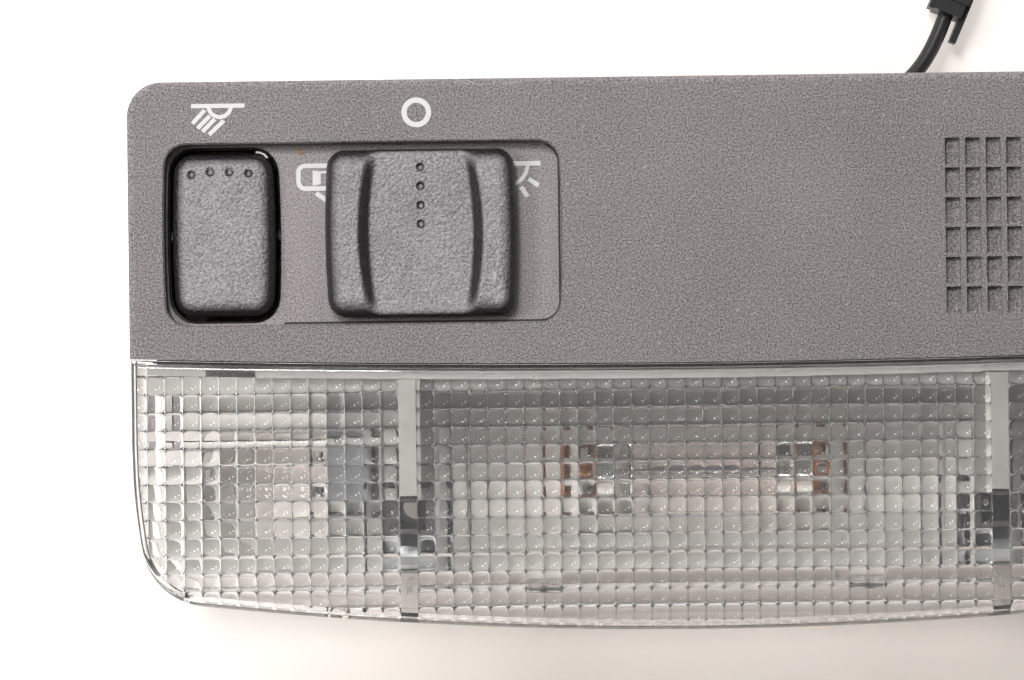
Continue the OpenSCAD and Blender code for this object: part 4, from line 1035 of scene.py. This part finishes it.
def raised(outline, z):
    """A flat closed shape with the print's thickness, its points going round."""
    outline = np.asarray(outline, float)
    count = len(outline)
    low = np.column_stack([outline, np.full(count, z - PRINT_ROOT)])
    high = np.column_stack([outline, np.full(count, z + PRINT_THICKNESS)])
    k = np.arange(count)
    n = (k + 1) % count
    walls = np.stack([k, n, n + count, k + count], 1).tolist()
    return np.concatenate([low, high]), walls + [k[::-1].tolist(), (k + count).tolist()]


def stroke(start, end, width, z):
    """Straight stroke with square ends."""
    start, end = np.array(start, float), np.array(end, float)
    side = np.array([start[1] - end[1], end[0] - start[0]])
    side *= width / 2 / np.linalg.norm(side)
    return raised([start + side, start - side, end - side, end + side], z)


def ring_part(centre, outer, inner, start, end, z, steps=48):
    """Part of a flat ring from one angle to another, in degrees; a full turn is closed by two halves."""
    a = np.radians(np.linspace(start, end, steps))
    circle = np.stack([np.cos(a), np.sin(a)], 1)
    return raised(np.concatenate([centre + outer * circle, centre + inner * circle[::-1]]), z)


def bent_stroke(points, width, z):
    """Stroke of even width through several points: each point is pushed out to both sides."""
    points = np.array(points, float)
    along = np.gradient(points, axis=0)
    along /= np.linalg.norm(along, axis=1, keepdims=True)
    side = np.stack([-along[:, 1], along[:, 0]], 1) * width / 2
    return raised(np.concatenate([points + side, (points - side)[::-1]]), z)


def corner_arc(centre, radius, start, end, steps=8):
    a = np.radians(np.linspace(start, end, steps))
    return [(centre[0] + radius * c, centre[1] + radius * d) for c, d in zip(np.cos(a), np.sin(a))]


def print_mark(name, shapes):
    """One printed mark; each shape lies a hair above the one before, so that they can cross."""
    stacked = [(points + [0, 0, STACK_STEP * k], faces) for k, (points, faces) in enumerate(shapes)]
    points, faces = joined(stacked)
    make_piece(name, points * MM, faces, white_print, "unit", math.radians(20))


white_print = plain_finish(
    "white_print", srgb(240, 237, 235), srgb(252, 250, 248), 0.5, 0.3 * MM, 0.004 * MM
)


def lamp_mark(x, y, z, turn):
    """Map-lamp symbol: a bar, a half ring under it and four slanted rays; turn mirrors it."""
    rays = [
        ((-2.60, -0.72), (-4.78, -3.04)), ((-1.73, -1.73), (-3.91, -3.89)),
        ((-0.87, -2.30), (-3.04, -4.48)), ((0.72, -2.6), (-1.88, -4.99)),
    ]
    shapes = [
        stroke((x - 4.97 * turn, y), (x + 4.35 * turn, y), 0.75, z),
        ring_part(np.array([x, y]), 2.31, 1.59, 180, 360, z),
    ]
    for start, end in rays:
        ray_start = (x + start[0] * turn, y + start[1])
        ray_end = (x + end[0] * turn, y + end[1])
        shapes.append(stroke(ray_start, ray_end, 0.72, z))
    return shapes


LAMP_MARK = (83.8, 44.05)
print_mark("print_map_lamp_left", lamp_mark(-LAMP_MARK[0], LAMP_MARK[1], LENS_FRONT_Z, 1))
print_mark("print_map_lamp_right", lamp_mark(LAMP_MARK[0], LAMP_MARK[1], LENS_FRONT_Z, -1))
off_centre = np.array([-49.5, 42.48])
print_mark("print_off", [
    ring_part(off_centre, 2.60, 1.68, 0, 180, LENS_FRONT_Z),
    ring_part(off_centre, 2.60, 1.68, 180, 360, LENS_FRONT_Z),
])
car_side = [(-62, 33.56)]
car_side += corner_arc((-69.2, 32.35), 1.2, 90, 180) + corner_arc((-69.2, 30.75), 1.2, 180, 270)
print_mark("print_door", [
    bent_stroke(car_side + [(-62, 29.55)], 0.78, RECESS_FLOOR),
    raised([(-67.9, 32.75), (-67.9, 30.05), (-66.5, 30.3), (-66.5, 32.5)], RECESS_FLOOR),
    stroke((-66.5, 32.4), (-62, 32.4), 0.4, RECESS_FLOOR),
    stroke((-67.36, 28.75), (-65.3, 27.3), 0.8, RECESS_FLOOR),
])
on_centre = np.array([-34.12, 33.5])
ray_angles = np.radians((-33.7, -56.3, -90, -123.7, -146.3))
ray_ways = [np.array([math.cos(a), math.sin(a)]) for a in ray_angles]
print_mark("print_on", [
    stroke((-40.37, 33.5), (-27.9, 33.5), 0.8, RECESS_FLOOR),
    ring_part(on_centre, 4.3, 3.6, 180, 360, RECESS_FLOOR),
] + [
    stroke(on_centre + 4.9 * way, on_centre + 7.0 * way, 0.8, RECESS_FLOOR)
    for way in ray_ways
])

# %% Shaded groove at the right and lower edge of the recess floor
# The photo shows an almost black line there. It is drawn as a thin dark strip on the floor.
GROOVE_INSET = 0.3
GROOVE_W = 0.36
GROOVE_R = RECESS_R - GROOVE_INSET
edge_x = KNOB_X + RECESS_HALF_L - GROOVE_INSET
low_y = RECESS_LOW_Y + GROOVE_INSET
high_y = RECESS_HIGH_Y - GROOVE_INSET
groove_path = corner_arc((edge_x - GROOVE_R, high_y - GROOVE_R), GROOVE_R, 70, 0)
groove_path += [(edge_x, RECESS_MIDDLE_Y)]
groove_path += corner_arc((edge_x - GROOVE_R, low_y + GROOVE_R), GROOVE_R, 0, -90)
groove_path += [(-50, low_y), (-73.2, low_y)]
groove = bent_stroke(groove_path, GROOVE_W, RECESS_FLOOR)
groove_finish = plain_finish(
    "groove_shade", srgb(46, 42, 43), srgb(60, 56, 57), 0.6, 0.4 * MM, 0.02 * MM
)
make_piece("recess_groove", groove[0] * MM, groove[1], groove_finish, "unit")

# %% Pale sliver at the left rocker's corner and a crumb on the recess floor
# What the sliver is can't be told for sure. It is drawn as bare plastic at the corner, and rides
# on the rocker.
chip = bent_stroke([(-77.8, 36.05), (-77.0, 35.95), (-76.3, 35.6), (-75.8, 35.05)], 0.32, 33.2)
chip_plastic = plain_finish(
    "bare_plastic", srgb(226, 220, 210), srgb(246, 242, 236), 0.4, 0.8 * MM, 0.01 * MM
)
make_piece("rocker_chip", chip[0] * MM, chip[1], chip_plastic, "left_rocker")
crumb_finish = plain_finish("crumb", srgb(166, 132, 92), srgb(196, 164, 122), 0.7, 0.2 * MM, 0.03 * MM)
crumb_path = np.array([
    (-70.8, 36.4, 33.2), (-70.2, 36.0, 33.3), (-69.7, 35.9, 33.25), (-70.1, 35.4, 33.2),
])
CRUMB_R = np.array([0.2, 0.3, 0.34, 0.12])
CRUMB_MIDDLE_Z = 33.25
CRUMB_LAID_Z = 33.13
CRUMB_SQUEEZE = 0.3
crumb_points, crumb_faces = tube(crumb_path, CRUMB_R, 7)
crumb_points[:, 2] = CRUMB_LAID_Z + (crumb_points[:, 2] - CRUMB_MIDDLE_Z) * CRUMB_SQUEEZE
make_piece("crumb", crumb_points * MM, crumb_faces, crumb_finish, "unit",
           crease=math.radians(60))

# %% [markdown]
# ## Floor and light
# A pale floor carries the shadow. Far from the light it turns into a plain
# white backdrop, which the camera, mirrors and glass all see. Two small bright
# boxes, one above the switches and one to the left, put two sparks into every
# pillow cell; the key box above the switch edge gives the sheen on all that
# faces up. Round the light the board is coloured a little darker and warmer,
# as it looks in the photo.
# That darker, warmer colour is a painted shadow.

# %% Floor and backdrop
FLOOR_HALF = 2.4
BACKDROP_HEIGHT = 1.3


def seen_rays(finish):
    """1 for rays of the camera, of mirrors and of glass, 0 for all others."""
    ray = finish.node("ShaderNodeLightPath")
    seen = Level(finish.tree, ray.outputs["Is Camera Ray"])
    for kind in ("Is Glossy Ray", "Is Transmission Ray"):
        seen = seen.join("MAXIMUM", seen, Level(finish.tree, ray.outputs[kind]))
    return seen


# Board colours: the near one is a painted shadow round the light, the far one is plain
SHADOW_BOARD = (0.75, 0.685, 0.645, 1)
FAR_BOARD = (0.88, 0.85, 0.83, 1)
FAR_GLOW = 0.9


def backdrop_finish(name, near_glow, shadow_glow_colour, middle, spread):
    """Pale board that takes shadows and glows a little, up to plain white outside the spread round a
    middle. Inside the spread its colour is a painted shadow, darker and warmer."""
    finish = Finish(name)
    tone = finish.noise(60 * MM, 2)
    apart = finish.node("ShaderNodeVectorMath", {"operation": "DISTANCE"}, {0: finish.place, 1: middle})
    far = finish.ramp(apart.outputs["Value"], spread, 3 * spread)
    board = finish.node("ShaderNodeBsdfDiffuse", None, {
        "Color": finish.blend(far * 0.8 + tone * 0.2, SHADOW_BOARD, FAR_BOARD),
    })
    glow = finish.node("ShaderNodeEmission", None, {
        "Color": finish.blend(far, shadow_glow_colour, (1, 1, 1, 1)),
        "Strength": seen_rays(finish) * (far * (FAR_GLOW - near_glow) + near_glow),
    })
    both = finish.node("ShaderNodeAddShader")
    finish.tree.links.new(board.outputs[0], both.inputs[0])
    finish.tree.links.new(glow.outputs[0], both.inputs[1])
    finish.tree.links.new(both.outputs[0], finish.output.inputs["Surface"])
    return finish.material


def stage_piece(name, points, faces, finish):
    mesh = bpy.data.meshes.new(name)
    mesh.from_pydata(points, [], faces)
    mesh.materials.append(finish)
    piece = bpy.data.objects.new(name, mesh)
    scene.collection.objects.link(piece)


floor_level = -0.05 * MM
corners = [(-1, -1), (1, -1), (1, 1), (-1, 1)]
low_corners = [(x * FLOOR_HALF, y * FLOOR_HALF, floor_level) for x, y in corners]
high_corners = [(x, y, BACKDROP_HEIGHT) for x, y, _ in low_corners]
# The painted shadow is centred below and right of the light, where the real shadow falls
board = backdrop_finish(
    "floor_board", near_glow=0.08, shadow_glow_colour=(1, 0.86, 0.76, 1), middle=(0.03, -0.06, 0), spread=0.06
)
stage_piece("floor", low_corners, [[0, 1, 2, 3]], board)
walls = [[k, (k + 1) % 4, (k + 1) % 4 + 4, k + 4] for k in range(4)]
stage_piece("backdrop", low_corners + high_corners, walls, board)


def soft_lamp(name, place, size, power):
    """Square lamp of that size at a place, facing the middle of the light."""
    data = bpy.data.lights.new(name, "AREA")
    data.shape = "SQUARE"
    data.size = size
    data.energy = power
    lamp = bpy.data.objects.new(name, data)
    lamp.location = place
    direction = -np.array(place)
    lamp.rotation_euler = (
        math.acos(-direction[2] / np.linalg.norm(direction)), 0,
        math.atan2(direction[1], direction[0]) - math.pi / 2,
    )
    scene.collection.objects.link(lamp)


def polar(tilt, heading, distance):
    """Place at that distance from the light, tilted from the upright, heading counted from +X."""
    tilt, heading = math.radians(tilt), math.radians(heading)
    return (
        distance * math.sin(tilt) * math.cos(heading),
        distance * math.sin(tilt) * math.sin(heading),
        distance * math.cos(tilt),
    )


soft_lamp("upper_box", polar(tilt=62, heading=72, distance=1.0), size=0.24, power=1.3)
soft_lamp("left_box", polar(tilt=46, heading=168, distance=0.7), size=0.16, power=1.4)
soft_lamp("key_box", polar(tilt=31, heading=118, distance=1.0), size=0.28, power=5.0)

WORLD_STRENGTH = 0.13
world = bpy.data.worlds.new("studio")
scene.world = world
world.use_nodes = True
background = world.node_tree.nodes["Background"]
background.inputs["Color"].default_value = (1, 1, 1, 1)
background.inputs["Strength"].default_value = WORLD_STRENGTH
